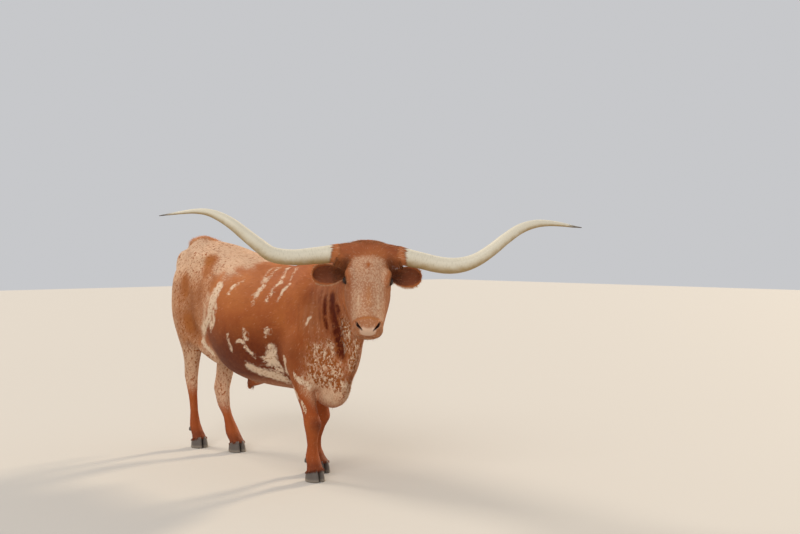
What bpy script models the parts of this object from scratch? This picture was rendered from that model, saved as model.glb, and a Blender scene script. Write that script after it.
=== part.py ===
"""A life-size Texas longhorn steer, standing still with its head turned to its right.

Metres, +Z up. The animal faces -Y, its left side is +X, and it stands on the plane Z = 0.
The flesh is modelled from overlapping masses, one for each muscle group or bony form, which a voxel
remesh fuses into one closed skin. Thin cuts then part it into the head, neck, torso and legs.
Horns, ears, eyes, claws and tail are pieces of their own, set in fitted sockets.
"""

import math

import bmesh
import bpy
import numpy as np
from mathutils import Matrix, Vector

# Sizes shared by the whole animal
GAP = 0.0003                 # clearance between pieces that touch
BODY_VOXEL = 0.009           # grain of the fused body
HEAD_VOXEL = 0.005           # grain of the fused head
BODY_FACES = 5600            # triangles kept on the body before it is parted
HEAD_FACES = 3200            # triangles kept on the head before its sockets are cut
RING_SIDES = 28              # points round a lofted mass

# The head's place: the top of the poll, and how the head is turned
POLL = Vector((-0.184, -1.880, 1.448))
HEAD_YAW = math.radians(37.2)      # to the animal's right
HEAD_SLOPE = math.radians(52.0)    # of the face line, below the horizontal
HEAD_ROLL = math.radians(-2.0)     # left side lower

# Eyes, ears and horns, in the head's own coordinates (see head_point)
THROAT_LINE = -0.288         # how far below the face line the head meets the dewlap
EYE_RADIUS = 0.0205
EYE_PLACE = (0.238, -0.060, 0.113)
EYE_LOOK = (0.16, 0.22, 0.96)      # the way the left eye faces
LID_WALL = 0.0062
LID_HALF_LENGTH = 0.0215
LID_HALF_HEIGHT = 0.0130
NOSTRIL = [((0.549, -0.044, 0.028), 0.0060), ((0.538, -0.048, 0.042), 0.0090),
           ((0.516, -0.054, 0.060), 0.0075), ((0.496, -0.056, 0.076), 0.0045)]
MOUTH_HEIGHT = 0.003
MOUTH_DEPTH = 0.012
MOUTH = [(0.405, -0.128), (0.450, -0.118), (0.500, -0.110), (0.560, -0.105)]
EAR_ROOT = (0.110, -0.163, 0.122)
EAR_LENGTH = 0.184
EAR_HALF_WIDTH = 0.059
EAR_THICKNESS = 0.007
EAR_DROOP = 0.13
HORN_BASE = (0.052, -0.072)
HORN_START = 0.195           # from the head's centre line to the visible root
HORN_SUNK = 0.035            # length of root inside the hair-covered boss
HORN_SIDES = 12

# Feet: claw sizes, and where each hoof stands
CLAW_LENGTH = 0.118
CLAW_WIDTH = 0.056
CLAW_HEIGHT = 0.078
CLAW_HEEL_HEIGHT = 0.044
CLEFT = 0.007
DEWCLAW_LENGTH = 0.030
DEWCLAW_RADIUS = 0.0140
FORE_FETLOCK = (0.022, 0.128, 0.045)     # behind the hoof's centre, height, half depth
HIND_FETLOCK = (0.050, 0.130, 0.044)
HOOVES = {
    "fore_right": (-0.090, -1.255),
    "fore_left": (0.082, -1.080),
    "hind_right": (-0.075, 0.135),
    "hind_left": (0.042, -0.172),
}

# Trunk sections: Y, top, bottom, half width, height of the widest point
TRUNK = [
    (0.372, 1.250, 1.060, 0.060, 1.160),    # buttocks
    (0.325, 1.390, 0.960, 0.120, 1.200),    # pin bones
    (0.210, 1.474, 0.860, 0.180, 1.200),    # tail head
    (0.020, 1.458, 0.700, 0.235, 1.170),    # croup
    (-0.200, 1.428, 0.590, 0.262, 1.080),   # loin and flank
    (-0.450, 1.368, 0.530, 0.318, 0.980),   # last ribs
    (-0.700, 1.312, 0.516, 0.325, 0.930),   # barrel
    (-0.950, 1.296, 0.514, 0.282, 0.910),   # heart girth
    (-1.150, 1.330, 0.520, 0.246, 0.930),   # withers
    (-1.300, 1.300, 0.520, 0.222, 0.950),   # breast
    (-1.430, 1.200, 0.580, 0.150, 0.930),   # point of the breast
    (-1.520, 1.080, 0.700, 0.060, 0.900),
]

# Neck sections: centre, half height, half width
NECK = [
    ((0.000, -1.120, 1.010), 0.330, 0.190),
    ((-0.005, -1.340, 1.035), 0.290, 0.172),
    ((-0.040, -1.540, 1.110), 0.235, 0.138),
    ((-0.105, -1.700, 1.205), 0.185, 0.114),
    ((-0.165, -1.800, 1.290), 0.150, 0.104),
    ((-0.195, -1.860, 1.330), 0.120, 0.098),
]

# Dewlap sections, from the brisket to the throat: centre of its edge, depth, half thickness
DEWLAP = [
    ((0.000, -1.230, 0.556), 0.150, 0.075),
    ((0.000, -1.328, 0.548), 0.145, 0.080),
    ((-0.005, -1.400, 0.655), 0.145, 0.062),
    ((-0.030, -1.518, 0.798), 0.140, 0.044),
    ((-0.072, -1.652, 0.928), 0.120, 0.036),
    ((-0.128, -1.768, 1.050), 0.095, 0.032),
    ((-0.180, -1.850, 1.120), 0.060, 0.030),
]

# Leg sections from the body down: (X, Y) from the hoof's centre, height, half depth, half width
FORE_LEG = [
    ((0.075, 0.080), 0.980, 0.070, 0.030),
    ((0.092, 0.088), 0.860, 0.115, 0.068),    # upper arm
    ((0.086, 0.085), 0.770, 0.110, 0.072),    # elbow
    ((0.066, 0.060), 0.640, 0.084, 0.064),
    ((0.042, 0.042), 0.520, 0.066, 0.054),    # forearm
    ((0.022, 0.018), 0.410, 0.053, 0.048),
    ((0.014, 0.004), 0.345, 0.058, 0.055),    # knee
    ((0.008, 0.016), 0.285, 0.042, 0.042),
    ((0.003, 0.024), 0.215, 0.032, 0.033),    # cannon
    ((0.001, 0.027), 0.160, 0.038, 0.040),
    ((0.000, 0.022), 0.128, 0.045, 0.046),    # fetlock
    ((0.000, 0.008), 0.095, 0.044, 0.047),    # pastern
    ((0.000, -0.004), 0.060, 0.056, 0.053),   # coronet
    ((0.000, -0.006), 0.020, 0.058, 0.054),
]
HIND_LEG = [
    ((0.050, 0.000), 1.350, 0.090, 0.035),
    ((0.075, 0.005), 1.230, 0.165, 0.075),    # hip
    ((0.074, 0.010), 1.080, 0.190, 0.094),    # thigh
    ((0.070, 0.004), 0.930, 0.182, 0.102),
    ((0.058, 0.004), 0.800, 0.142, 0.088),    # stifle
    ((0.040, 0.030), 0.690, 0.096, 0.064),
    ((0.024, 0.062), 0.590, 0.068, 0.050),    # gaskin
    ((0.012, 0.092), 0.500, 0.066, 0.042),    # hock
    ((0.008, 0.090), 0.440, 0.052, 0.039),
    ((0.004, 0.082), 0.350, 0.037, 0.031),
    ((0.000, 0.074), 0.250, 0.032, 0.029),    # cannon
    ((0.000, 0.064), 0.170, 0.038, 0.037),
    ((0.000, 0.050), 0.130, 0.044, 0.043),    # fetlock
    ((0.000, 0.022), 0.095, 0.043, 0.045),    # pastern
    ((0.000, -0.002), 0.060, 0.053, 0.051),   # coronet
    ((0.000, -0.006), 0.020, 0.055, 0.052),
]
# How a leg in mid stride differs from its table: section height, further back, lower, stouter
HIND_LEFT_SET = [
    (1.350, 0.300, 0.000, 1.00),
    (1.230, 0.295, 0.000, 1.00),
    (1.080, 0.265, 0.010, 1.00),
    (0.930, 0.228, 0.030, 1.00),
    (0.800, 0.192, 0.060, 1.00),
    (0.690, 0.166, 0.080, 1.00),
    (0.590, 0.143, 0.085, 1.12),
    (0.500, 0.128, 0.085, 1.20),
    (0.440, 0.111, 0.075, 1.25),
    (0.350, 0.098, 0.050, 1.46),
    (0.250, 0.048, 0.018, 1.22),
    (0.170, 0.018, 0.000, 1.16),
    (0.130, 0.012, 0.000, 1.18),
    (0.095, 0.012, 0.000, 1.22),
    (0.060, 0.000, 0.000, 1.00),
]
FORE_LEFT_SET = [
    (0.345, 0.004, 0.000, 1.00),
    (0.285, 0.010, 0.000, 0.96),
    (0.215, 0.018, 0.000, 0.94),
    (0.160, 0.024, 0.000, 0.86),
    (0.128, 0.022, 0.000, 0.86),
    (0.095, 0.012, 0.000, 0.92),
    (0.060, 0.000, 0.000, 1.00),
]
AS_TABLED = [(2.0, 0.0, 0.0, 1.0), (0.0, 0.0, 0.0, 1.0)]

# Head sections: distance down the face, top, bottom, half width, level of the widest point
HEAD = [
    (-0.050, -0.075, -0.170, 0.070, -0.110),
    (0.000, -0.020, -0.230, 0.112, -0.095),   # poll
    (0.080, -0.002, -0.275, 0.118, -0.090),   # forehead
    (0.160, 0.002, -0.290, 0.118, -0.092),
    (0.240, -0.002, -0.285, 0.121, -0.095),   # eyes
    (0.300, -0.008, -0.258, 0.125, -0.112),
    (0.370, -0.012, -0.224, 0.113, -0.122),   # cheeks and nose bridge
    (0.440, -0.016, -0.196, 0.096, -0.118),
    (0.500, -0.018, -0.174, 0.084, -0.106),
    (0.540, -0.028, -0.160, 0.081, -0.100),   # muzzle
    (0.566, -0.052, -0.142, 0.062, -0.096),
]

# Horn lines: distance out from the head's centre line, rise, distance forward and radius
HORN_RIGHT = [
    (0.193, -0.001, 0.006, 0.0500),
    (0.300, -0.015, 0.013, 0.0462),
    (0.410, -0.027, 0.026, 0.0435),
    (0.521, -0.015, 0.038, 0.0422),
    (0.598, 0.035, 0.046, 0.0385),
    (0.668, 0.087, 0.041, 0.0350),
    (0.739, 0.140, 0.037, 0.0312),
    (0.810, 0.179, 0.021, 0.0262),
    (0.882, 0.202, 0.004, 0.0195),
    (0.954, 0.205, -0.016, 0.0138),
    (1.026, 0.196, -0.038, 0.0094),
    (1.098, 0.184, -0.058, 0.0056),
    (1.151, 0.175, -0.072, 0.0018),
]
HORN_LEFT = [
    (0.193, -0.002, 0.006, 0.0485),
    (0.297, -0.022, 0.012, 0.0465),
    (0.375, -0.038, 0.021, 0.0460),
    (0.452, -0.044, 0.030, 0.0448),
    (0.529, -0.033, 0.038, 0.0415),
    (0.604, -0.001, 0.044, 0.0372),
    (0.680, 0.053, 0.042, 0.0342),
    (0.757, 0.118, 0.034, 0.0314),
    (0.837, 0.173, 0.015, 0.0285),
    (0.918, 0.203, -0.005, 0.0238),
    (1.002, 0.212, -0.031, 0.0176),
    (1.087, 0.208, -0.055, 0.0118),
    (1.156, 0.200, -0.073, 0.0068),
    (1.207, 0.196, -0.085, 0.0018),
]

# Tail: centre line from the tail head down, with the radius
TAIL = [
    ((0.000, 0.225, 1.432), 0.040),
    ((0.000, 0.305, 1.436), 0.038),
    ((0.003, 0.366, 1.405), 0.033),
    ((0.008, 0.408, 1.300), 0.027),
    ((0.014, 0.422, 1.090), 0.022),
    ((0.022, 0.424, 0.900), 0.019),
    ((0.026, 0.424, 0.780), 0.017),
]
SWITCH_TOP = 0.800
SWITCH_CORE = [
    ((0.0255, 0.4245, 0.830), 0.0168),
    ((0.027, 0.423, 0.720), 0.0230),
    ((0.029, 0.421, 0.600), 0.0270),
    ((0.031, 0.419, 0.480), 0.0220),
    ((0.032, 0.418, 0.390), 0.0100),
]
SWITCH_LOCKS = 12
SWITCH_TIP = 0.330           # height of the lowest hair

COAT_RED = (0.36, 0.105, 0.035)
HORN_IVORY = (0.66, 0.60, 0.44)
HOOF_GREY = (0.075, 0.065, 0.055)
EYE_BROWN = (0.02, 0.012, 0.008)


# Small helpers

def clear_scene():
    for old in list(bpy.data.objects):
        bpy.data.objects.remove(old)


def new_collection(name):
    made = bpy.data.collections.new(name)
    bpy.context.scene.collection.children.link(made)
    return made


def material(name, colour, roughness):
    made = bpy.data.materials.new(name)
    made.use_nodes = True
    shader = made.node_tree.nodes["Principled BSDF"]
    shader.inputs["Base Color"].default_value = (*colour, 1.0)
    shader.inputs["Roughness"].default_value = roughness
    return made


def head_axes():
    """The head's own directions: down the face, out of the forehead, and to its left."""
    ahead = Vector((-math.sin(HEAD_YAW), -math.cos(HEAD_YAW), 0.0))
    left = Vector((0, 0, 1)).cross(ahead)
    roll = Matrix.Rotation(HEAD_ROLL, 3, ahead)
    down_face = roll @ (ahead * math.cos(HEAD_SLOPE) - Vector((0, 0, math.sin(HEAD_SLOPE))))
    brow = roll @ (ahead * math.sin(HEAD_SLOPE) + Vector((0, 0, math.cos(HEAD_SLOPE))))
    return down_face, brow, roll @ left


def head_point(down, out, left):
    """A point given in the head's coordinates, in metres."""
    along, brow, side = head_axes()
    return POLL + along * down + brow * out + side * left


def smooth_rows(rows, steps):
    """Rows of numbers, with more between them on a Catmull-Rom curve."""
    data = np.array(rows, float)
    padded = np.vstack([2 * data[0] - data[1], data, 2 * data[-1] - data[-2]])
    made = []
    for i in range(len(data) - 1):
        before, start, end, after = padded[i:i + 4]
        for t in np.arange(steps) / steps:
            made.append(0.5 * (2 * start + (end - before) * t
                               + (2 * before - 5 * start + 4 * end - after) * t * t
                               + (3 * start - before - 3 * end + after) * t ** 3))
    made.append(data[-1])
    return made


def ring(centre, side, side_size, up, up_size, down_size, sides=RING_SIDES):
    """Points round an oval whose upper and lower halves may differ."""
    made = []
    for i in range(sides):
        turn = 2 * math.pi * i / sides
        rise = math.sin(turn)
        made.append(Vector(centre) + Vector(side) * (side_size * math.cos(turn))
                    + Vector(up) * (rise * (up_size if rise > 0 else down_size)))
    return made


def add_rings(mesh, rings):
    """Skins a row of rings into the bmesh, closed at both ends."""
    loops = [[mesh.verts.new(p) for p in points] for points in rings]
    faces = []
    for a, b in zip(loops, loops[1:]):
        for i in range(len(a)):
            j = (i + 1) % len(a)
            faces.append(mesh.faces.new((a[i], a[j], b[j], b[i])))
    faces.append(mesh.faces.new(loops[0]))
    faces.append(mesh.faces.new(loops[-1]))
    bmesh.ops.recalc_face_normals(mesh, faces=faces)


def add_ball(mesh, centre, radii, axes=None):
    """An ellipsoid with its own axes."""
    turn = Matrix(axes).transposed().to_4x4() if axes else Matrix.Identity(4)
    place = Matrix.Translation(centre) @ turn @ Matrix.Diagonal((*radii, 1.0))
    bmesh.ops.create_uvsphere(mesh, u_segments=20, v_segments=12, radius=1.0, matrix=place)


def add_limb(mesh, points, radii, side=(1, 0, 0), flatten=1.0, sides=RING_SIDES, steps=5, rounded=True):
    """A round limb through the points. Its width across side is flatten times its depth."""
    rows = along_curve(points, radii, steps)
    head, tail = rows[0], rows[-1]
    before = (head[0] - rows[1][0]).normalized()
    after = (tail[0] - rows[-2][0]).normalized()
    if rounded:
        turns = [math.radians(a) for a in (30, 58, 80)]
        rows = ([(head[0] + before * head[1] * math.sin(t), head[1] * math.cos(t)) for t in turns[::-1]] + rows
                + [(tail[0] + after * tail[1] * math.sin(t), tail[1] * math.cos(t)) for t in turns])
    rings = []
    for i, (centre, radius) in enumerate(rows):
        along = (rows[min(i + 1, len(rows) - 1)][0] - rows[max(i - 1, 0)][0]).normalized()
        across = (Vector(side) - along * along.dot(Vector(side))).normalized()
        rings.append(ring(centre, across, radius * flatten, along.cross(across), radius, radius, sides))
    add_rings(mesh, rings)


def object_of(name, mesh, collection):
    data = bpy.data.meshes.new(name)
    mesh.to_mesh(data)
    mesh.free()
    made = bpy.data.objects.new(name, data)
    collection.objects.link(made)
    return made


def settle(obj):
    """Applies the object's modifiers."""
    graph = bpy.context.evaluated_depsgraph_get()
    data = bpy.data.meshes.new_from_object(obj.evaluated_get(graph))
    obj.modifiers.clear()
    obj.data = data


def fuse(obj, voxel, rounds):
    """Fuses overlapping masses into one closed skin and smooths their joins."""
    remesh = obj.modifiers.new("fuse", "REMESH")
    remesh.mode = "VOXEL"
    remesh.voxel_size = voxel
    settle(obj)
    keep_largest(obj)
    soften(obj, rounds)


def soften(obj, rounds, weight=None):
    """Evens out the surface, everywhere or by a weight worked out from each point's place."""
    smooth = obj.modifiers.new("soften", "SMOOTH")
    smooth.factor = 0.5
    smooth.iterations = rounds
    if weight:
        group = obj.vertex_groups.new(name="soft")
        for vertex in obj.data.vertices:
            group.add([vertex.index], weight(vertex.co), "REPLACE")
        smooth.vertex_group = group.name
    settle(obj)
    obj.vertex_groups.clear()


def trunk_weight(place):
    """How freely the broad forms of the trunk are evened out: not at all on the thin lower legs."""
    return min(1.0, max(0.0, (place.z - 0.62) / 0.22))


def thin_out(obj, faces):
    """Leaves about this many triangles, most of them where the form curves."""
    obj.data.calc_loop_triangles()
    decimate = obj.modifiers.new("thin", "DECIMATE")
    decimate.ratio = min(1.0, faces / len(obj.data.loop_triangles))
    decimate.use_collapse_triangulate = True
    settle(obj)
    tidy(obj)


def tidy(obj):
    mesh = bmesh.new()
    mesh.from_mesh(obj.data)
    bmesh.ops.remove_doubles(mesh, verts=mesh.verts, dist=0.00002)
    bmesh.ops.dissolve_degenerate(mesh, edges=mesh.edges, dist=0.00002)
    bmesh.ops.triangulate(mesh, faces=mesh.faces)
    mesh.to_mesh(obj.data)
    mesh.free()


def keep_largest(obj):
    """Keeps only the largest closed surface of the mesh."""
    mesh = bmesh.new()
    mesh.from_mesh(obj.data)
    mesh.verts.ensure_lookup_table()
    seen = set()
    islands = []
    for start in mesh.verts:
        if start in seen:
            continue
        seen.add(start)
        island, front = [start], [start]
        while front:
            found = [e.other_vert(v) for v in front for e in v.link_edges]
            front = [v for v in dict.fromkeys(found) if v not in seen]
            seen.update(front)
            island.extend(front)
        islands.append(island)
    islands.sort(key=len)
    for island in islands[:-1]:
        bmesh.ops.delete(mesh, geom=island, context="VERTS")
    mesh.to_mesh(obj.data)
    mesh.free()


def combine(obj, other, operation):
    """Applies one Boolean between two closed meshes."""
    cut = obj.modifiers.new(operation.lower(), "BOOLEAN")
    cut.operation = operation
    cut.object = other
    settle(obj)
    tidy(obj)


def tube(name, rows, corners, collection):
    """A tapering tube through points that each state a radius, from a bevelled curve with filled caps."""
    curve = bpy.data.curves.new(name, "CURVE")
    curve.dimensions = "3D"
    curve.bevel_depth = 1.0
    curve.bevel_resolution = corners // 2 - 2
    curve.use_fill_caps = True
    spline = curve.splines.new("POLY")
    spline.points.add(len(rows) - 1)
    for point, (place, radius) in zip(spline.points, rows):
        point.co = (*place, 1.0)
        point.radius = radius
    guide = bpy.data.objects.new(name + "_line", curve)
    collection.objects.link(guide)
    graph = bpy.context.evaluated_depsgraph_get()
    data = bpy.data.meshes.new_from_object(guide.evaluated_get(graph))
    bpy.data.objects.remove(guide)
    made = bpy.data.objects.new(name, data)
    collection.objects.link(made)
    tidy(made)
    return made


def along_curve(points, radii, steps):
    """More points between the given ones, each with its radius."""
    return [(Vector(row[:3]), row[3]) for row in smooth_rows([(*p, r) for p, r in zip(points, radii)], steps)]


def copy_of(obj, name, collection):
    made = bpy.data.objects.new(name, obj.data.copy())
    collection.objects.link(made)
    return made


def block(name, point, normal, reach, collection, span=3.0):
    """A closed block whose one face lies on the plane, filling the side that normal points to."""
    mesh = bmesh.new()
    bmesh.ops.create_cube(mesh, size=1.0)
    normal = Vector(normal).normalized()
    turn = normal.to_track_quat("Z", "Y").to_matrix().to_4x4()
    middle = Vector(point) + normal * reach / 2
    mesh.transform(Matrix.Translation(middle) @ turn @ Matrix.Diagonal((span, span, reach, 1)))
    return object_of(name, mesh, collection)


def box(name, low, high, collection):
    mesh = bmesh.new()
    bmesh.ops.create_cube(mesh, size=1.0)
    low, high = Vector(low), Vector(high)
    mesh.transform(Matrix.Translation((low + high) / 2) @ Matrix.Diagonal((*(high - low), 1)))
    return object_of(name, mesh, collection)


# Masses of the body

def add_trunk(mesh):
    rings = []
    for y, top, bottom, width, widest in smooth_rows(TRUNK, 5):
        rings.append(ring((0, y, widest), (1, 0, 0), width, (0, 0, 1), top - widest, widest - bottom))
    add_rings(mesh, rings)


def add_neck(mesh):
    rows = smooth_rows([(*centre, high, wide) for centre, high, wide in NECK], 5)
    rings = []
    for i, row in enumerate(rows):
        ahead = Vector(rows[min(i + 1, len(rows) - 1)][:3]) - Vector(rows[max(i - 1, 0)][:3])
        ahead.normalize()
        side = Vector((0, 0, 1)).cross(ahead).normalized()
        rings.append(ring(row[:3], side, row[4], ahead.cross(side), row[3], row[3]))
    add_rings(mesh, rings)


def add_dewlap(mesh):
    rows = smooth_rows([(*edge, deep, thick) for edge, deep, thick in DEWLAP], 5)
    rings = []
    for i, row in enumerate(rows):
        ahead = Vector(rows[min(i + 1, len(rows) - 1)][:3]) - Vector(rows[max(i - 1, 0)][:3])
        ahead.normalize()
        side = Vector((0, 0, 1)).cross(ahead).normalized()
        rings.append(ring(row[:3], side, row[4], ahead.cross(side), row[3], row[3] * 0.75))
    add_rings(mesh, rings)


def add_leg(mesh, sections, foot, outward, setting=AS_TABLED):
    """One leg as a stack of level ovals above its hoof, with each oval set as the stride asks."""
    heights, back, lower, stout = np.array(setting)[::-1].T
    rows = []
    for (x, y), z, deep, wide in sections:
        size = np.interp(z, heights, stout)
        rows.append((x, y + np.interp(z, heights, back), z - np.interp(z, heights, lower),
                     deep * size, wide * (0.35 + 0.65 * size)))
    rings = []
    for x, y, z, deep, wide in smooth_rows(rows, 4):
        rings.append(ring((foot[0] + outward * x, foot[1] + y, z), (1, 0, 0), wide, (0, 1, 0), deep, deep))
    add_rings(mesh, rings)


def add_hock(mesh, foot, outward, setting=AS_TABLED):
    """The point of the hock, behind and above the joint, with its tendon running up the leg."""
    heights, back, lower, _ = np.array(setting)[::-1].T
    points = []
    for out, behind, height in ((0.016, 0.128, 0.460), (0.016, 0.138, 0.525), (0.026, 0.105, 0.640),
                                (0.046, 0.060, 0.760)):
        points.append((foot[0] + outward * out, foot[1] + behind + np.interp(height, heights, back),
                       height - np.interp(height, heights, lower)))
    add_limb(mesh, points, [0.020, 0.027, 0.022, 0.030], flatten=0.8)


def add_shoulder(mesh, outward):
    blade = [(0.080, -1.080, 1.250), (0.130, -1.180, 1.120), (0.158, -1.295, 0.960)]
    add_limb(mesh, [(outward * x, y, z) for x, y, z in blade], [0.060, 0.112, 0.105], flatten=0.80)
    arm = [(0.168, -1.310, 0.930), (0.176, -1.235, 0.840), (0.172, -1.130, 0.760)]
    add_limb(mesh, [(outward * x, y, z) for x, y, z in arm], [0.090, 0.105, 0.080], flatten=0.80)
    add_ball(mesh, (outward * 0.135, -1.110, 0.960), (0.112, 0.160, 0.230))


def add_hip(mesh, outward):
    add_ball(mesh, (outward * 0.170, -0.145, 1.334), (0.056, 0.115, 0.056))
    add_ball(mesh, (outward * 0.100, 0.302, 1.275), (0.062, 0.064, 0.125))
    add_limb(mesh, [(outward * 0.165, -0.120, 1.315), (outward * 0.130, 0.040, 1.330),
                    (outward * 0.088, 0.250, 1.310)], [0.050, 0.072, 0.060])
    # The flank fold runs from the stifle to the belly
    add_limb(mesh, [(outward * 0.120, 0.120, 0.880), (outward * 0.122, -0.040, 0.770),
                    (outward * 0.110, -0.200, 0.700)], [0.110, 0.100, 0.090], flatten=0.6)


def add_belly_details(mesh):
    """The sheath under the belly, the brisket's lobe and the crest of the tail head."""
    add_limb(mesh, [(0, -0.640, 0.562), (0, -0.500, 0.534), (0, -0.420, 0.508), (0, -0.398, 0.470)],
             [0.030, 0.042, 0.036, 0.020], flatten=0.8)
    add_ball(mesh, (0, -1.300, 0.590), (0.078, 0.105, 0.150))
    add_limb(mesh, [(0, 0.080, 1.430), (0, 0.180, 1.450), (0, 0.280, 1.440)], [0.040, 0.042, 0.038])
    add_ball(mesh, (0, 0.190, 0.875), (0.045, 0.060, 0.050))


# Masses of the head

def add_head(mesh):
    along, brow, side = head_axes()
    rings = []
    for down, top, bottom, width, widest in smooth_rows(HEAD, 5):
        rings.append(ring(head_point(down, widest, 0), side, width, brow, top - widest, widest - bottom))
    add_rings(mesh, rings)
    axes = (along, brow, side)
    add_ball(mesh, head_point(0.030, -0.052, 0), (0.062, 0.046, 0.120), axes)
    add_limb(mesh, [head_point(0.120, -0.050, 0), head_point(0.300, -0.052, 0), head_point(0.480, -0.058, 0)],
             [0.052, 0.047, 0.044], side=side, flatten=1.35)
    for left in (1, -1):
        add_limb(mesh, [head_point(0.056, -0.066, left * 0.040), head_point(0.054, -0.070, left * 0.120),
                        head_point(HORN_BASE[0], HORN_BASE[1], left * (HORN_START - 0.026))],
                 [0.070, 0.063, 0.0545], side=brow)
        add_ball(mesh, head_point(0.185, -0.195, left * 0.058), (0.115, 0.088, 0.050), axes)
        add_ball(mesh, head_point(0.222, -0.044, left * 0.096), (0.062, 0.032, 0.034), axes)
        add_ball(mesh, head_point(0.262, -0.086, left * 0.100), (0.052, 0.030, 0.027), axes)
        add_ball(mesh, head_point(0.300, -0.094, left * 0.084), (0.070, 0.032, 0.024), axes)
        add_ball(mesh, head_point(*EYE_PLACE[:2], left * EYE_PLACE[2]), (EYE_RADIUS + LID_WALL,) * 3)
        add_ball(mesh, head_point(0.522, -0.064, left * 0.050), (0.036, 0.034, 0.027), axes)
        stub, tip = ear_line(left)
        add_limb(mesh, [stub - tip * 0.050, stub + tip * 0.030], [0.040, 0.027])
    add_ball(mesh, head_point(0.546, -0.074, 0), (0.028, 0.046, 0.058), axes)
    add_ball(mesh, head_point(0.505, -0.140, 0), (0.052, 0.030, 0.056), axes)


def fused_flesh(collection):
    """The whole animal's flesh as one closed surface, at the body's grain."""
    mesh = bmesh.new()
    add_trunk(mesh)
    add_neck(mesh)
    add_dewlap(mesh)
    add_head(mesh)
    add_belly_details(mesh)
    for outward in (1, -1):
        add_shoulder(mesh, outward)
        add_hip(mesh, outward)
    for name, foot in HOOVES.items():
        outward = 1 if name.endswith("left") else -1
        setting = {"fore_left": FORE_LEFT_SET, "hind_left": HIND_LEFT_SET}.get(name, AS_TABLED)
        if name.startswith("fore"):
            add_leg(mesh, FORE_LEG, foot, outward, setting)
        else:
            add_leg(mesh, HIND_LEG, foot, outward, setting)
            add_hock(mesh, foot, outward, setting)
    flesh = object_of("flesh", mesh, collection)
    fuse(flesh, BODY_VOXEL, 5)
    soften(flesh, 55, trunk_weight)
    thin_out(flesh, BODY_FACES)
    return flesh


def fused_head(collection):
    """The head with the end of the neck, at the head's finer grain."""
    mesh = bmesh.new()
    add_neck(mesh)
    add_dewlap(mesh)
    add_head(mesh)
    head = object_of("head", mesh, collection)
    fuse(head, HEAD_VOXEL, 4)
    combine(head, head_region("near_head", 0.0, 0.05), "INTERSECT")
    thin_out(head, HEAD_FACES)
    return head


# Cuts

def head_region(name, grow, back=0.0):
    """The space that holds the head: past the plane behind the poll and jaw, and above the throat's line."""
    along, brow, _ = head_axes()
    normal = (along * 0.857 + brow * 0.514).normalized()
    region = block(name, head_point(-0.018, -0.070, 0) - normal * (grow + back), normal, 1.5, CUTTERS)
    above = block("above_" + name, head_point(0.2, THROAT_LINE, 0) - brow * grow, brow, 1.5, CUTTERS)
    combine(region, above, "INTERSECT")
    return region


NECK_CUT = (Vector((0, -1.262, 1.340)), Vector((0, -0.940, 0.340)).normalized())
# Where each leg leaves the body: a point of the cut and the way it faces
LEG_CUTS = {
    "fore_right": ((-0.130, -1.200, 0.590), (0.25, 0.0, -1.0)),
    "fore_left": ((0.150, -1.050, 0.590), (-0.25, 0.0, -1.0)),
    "hind_right": ((-0.110, 0.190, 0.590), (0.0, 0.35, -1.0)),
    "hind_left": ((0.090, 0.070, 0.530), (0.0, 0.50, -1.0)),
}


def leg_region(name, grow):
    """The space that holds one free leg, clear of the other legs, the brisket and the belly."""
    foot = HOOVES[name]
    sign = 1 if name.endswith("left") else -1
    inner, reach = (0.006 if name.startswith("fore") else -0.001, 0.6)
    if name == "hind_left":
        inner = 0.001
    region = box("low_" + name, *span(sign, inner - grow, reach, foot[1] - 0.22, foot[1] + 0.40, -0.1, 0.42 + grow),
                 CUTTERS)
    ahead, behind = (0.10, 0.39)
    if name.startswith("fore"):
        inner, ahead, behind = (0.062, 0.063, 0.155)
    upper = box("high_" + name, *span(sign, inner - grow, reach - 0.01, foot[1] - ahead - grow,
                                      foot[1] + behind + grow, 0.20, 1.0), CUTTERS)
    point, normal = Vector(LEG_CUTS[name][0]), Vector(LEG_CUTS[name][1]).normalized()
    combine(upper, block("below_" + name, point - normal * grow, normal, 2.0, CUTTERS), "INTERSECT")
    combine(region, upper, "UNION")
    return region


def span(sign, inner, outer, back, front, low, high):
    """The two corners of a box on one side of the animal."""
    left, right = sorted((sign * inner, sign * outer))
    return (left, back, low), (right, front, high)


def part_flesh(flesh, head, model):
    """Thin cuts part the flesh into torso, neck and legs, and the fine head from its neck."""
    pieces = {}
    for name in HOOVES:
        leg = copy_of(flesh, "leg_" + name, model)
        combine(leg, leg_region(name, 0.0), "INTERSECT")
        pieces[leg.name] = leg
        combine(flesh, leg_region(name, GAP), "DIFFERENCE")
        keep_largest(leg)
    combine(head, head_region("head_space", 0.0), "INTERSECT")
    combine(flesh, head_region("head_gap", GAP), "DIFFERENCE")
    neck = copy_of(flesh, "neck", model)
    combine(neck, block("neck_side", *NECK_CUT, 3.0, CUTTERS), "INTERSECT")
    combine(flesh, block("torso_side", NECK_CUT[0] - NECK_CUT[1] * GAP, NECK_CUT[1], 3.0, CUTTERS),
            "DIFFERENCE")
    flesh.name = "torso"
    pieces.update(torso=flesh, neck=neck, head=head)
    return pieces


# Horns, ears and eyes

def horn_line(left, sunk):
    """Points and radii of one horn, from inside its boss to the tip."""
    along, brow, side = head_axes()
    ahead = Vector((-math.sin(HEAD_YAW), -math.cos(HEAD_YAW), 0.0))
    up = ahead.cross(side)
    root = head_point(HORN_BASE[0], HORN_BASE[1], 0)
    table = HORN_LEFT if left > 0 else HORN_RIGHT
    rows = [(table[0][0] - sunk, 0.004, 0.002, table[0][3])] + table
    made = []
    for out, rise, forward, radius in smooth_rows(rows, 2):
        made.append((root + side * (left * out) + up * rise + ahead * forward, max(radius, 0.0012)))
    return made


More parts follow.
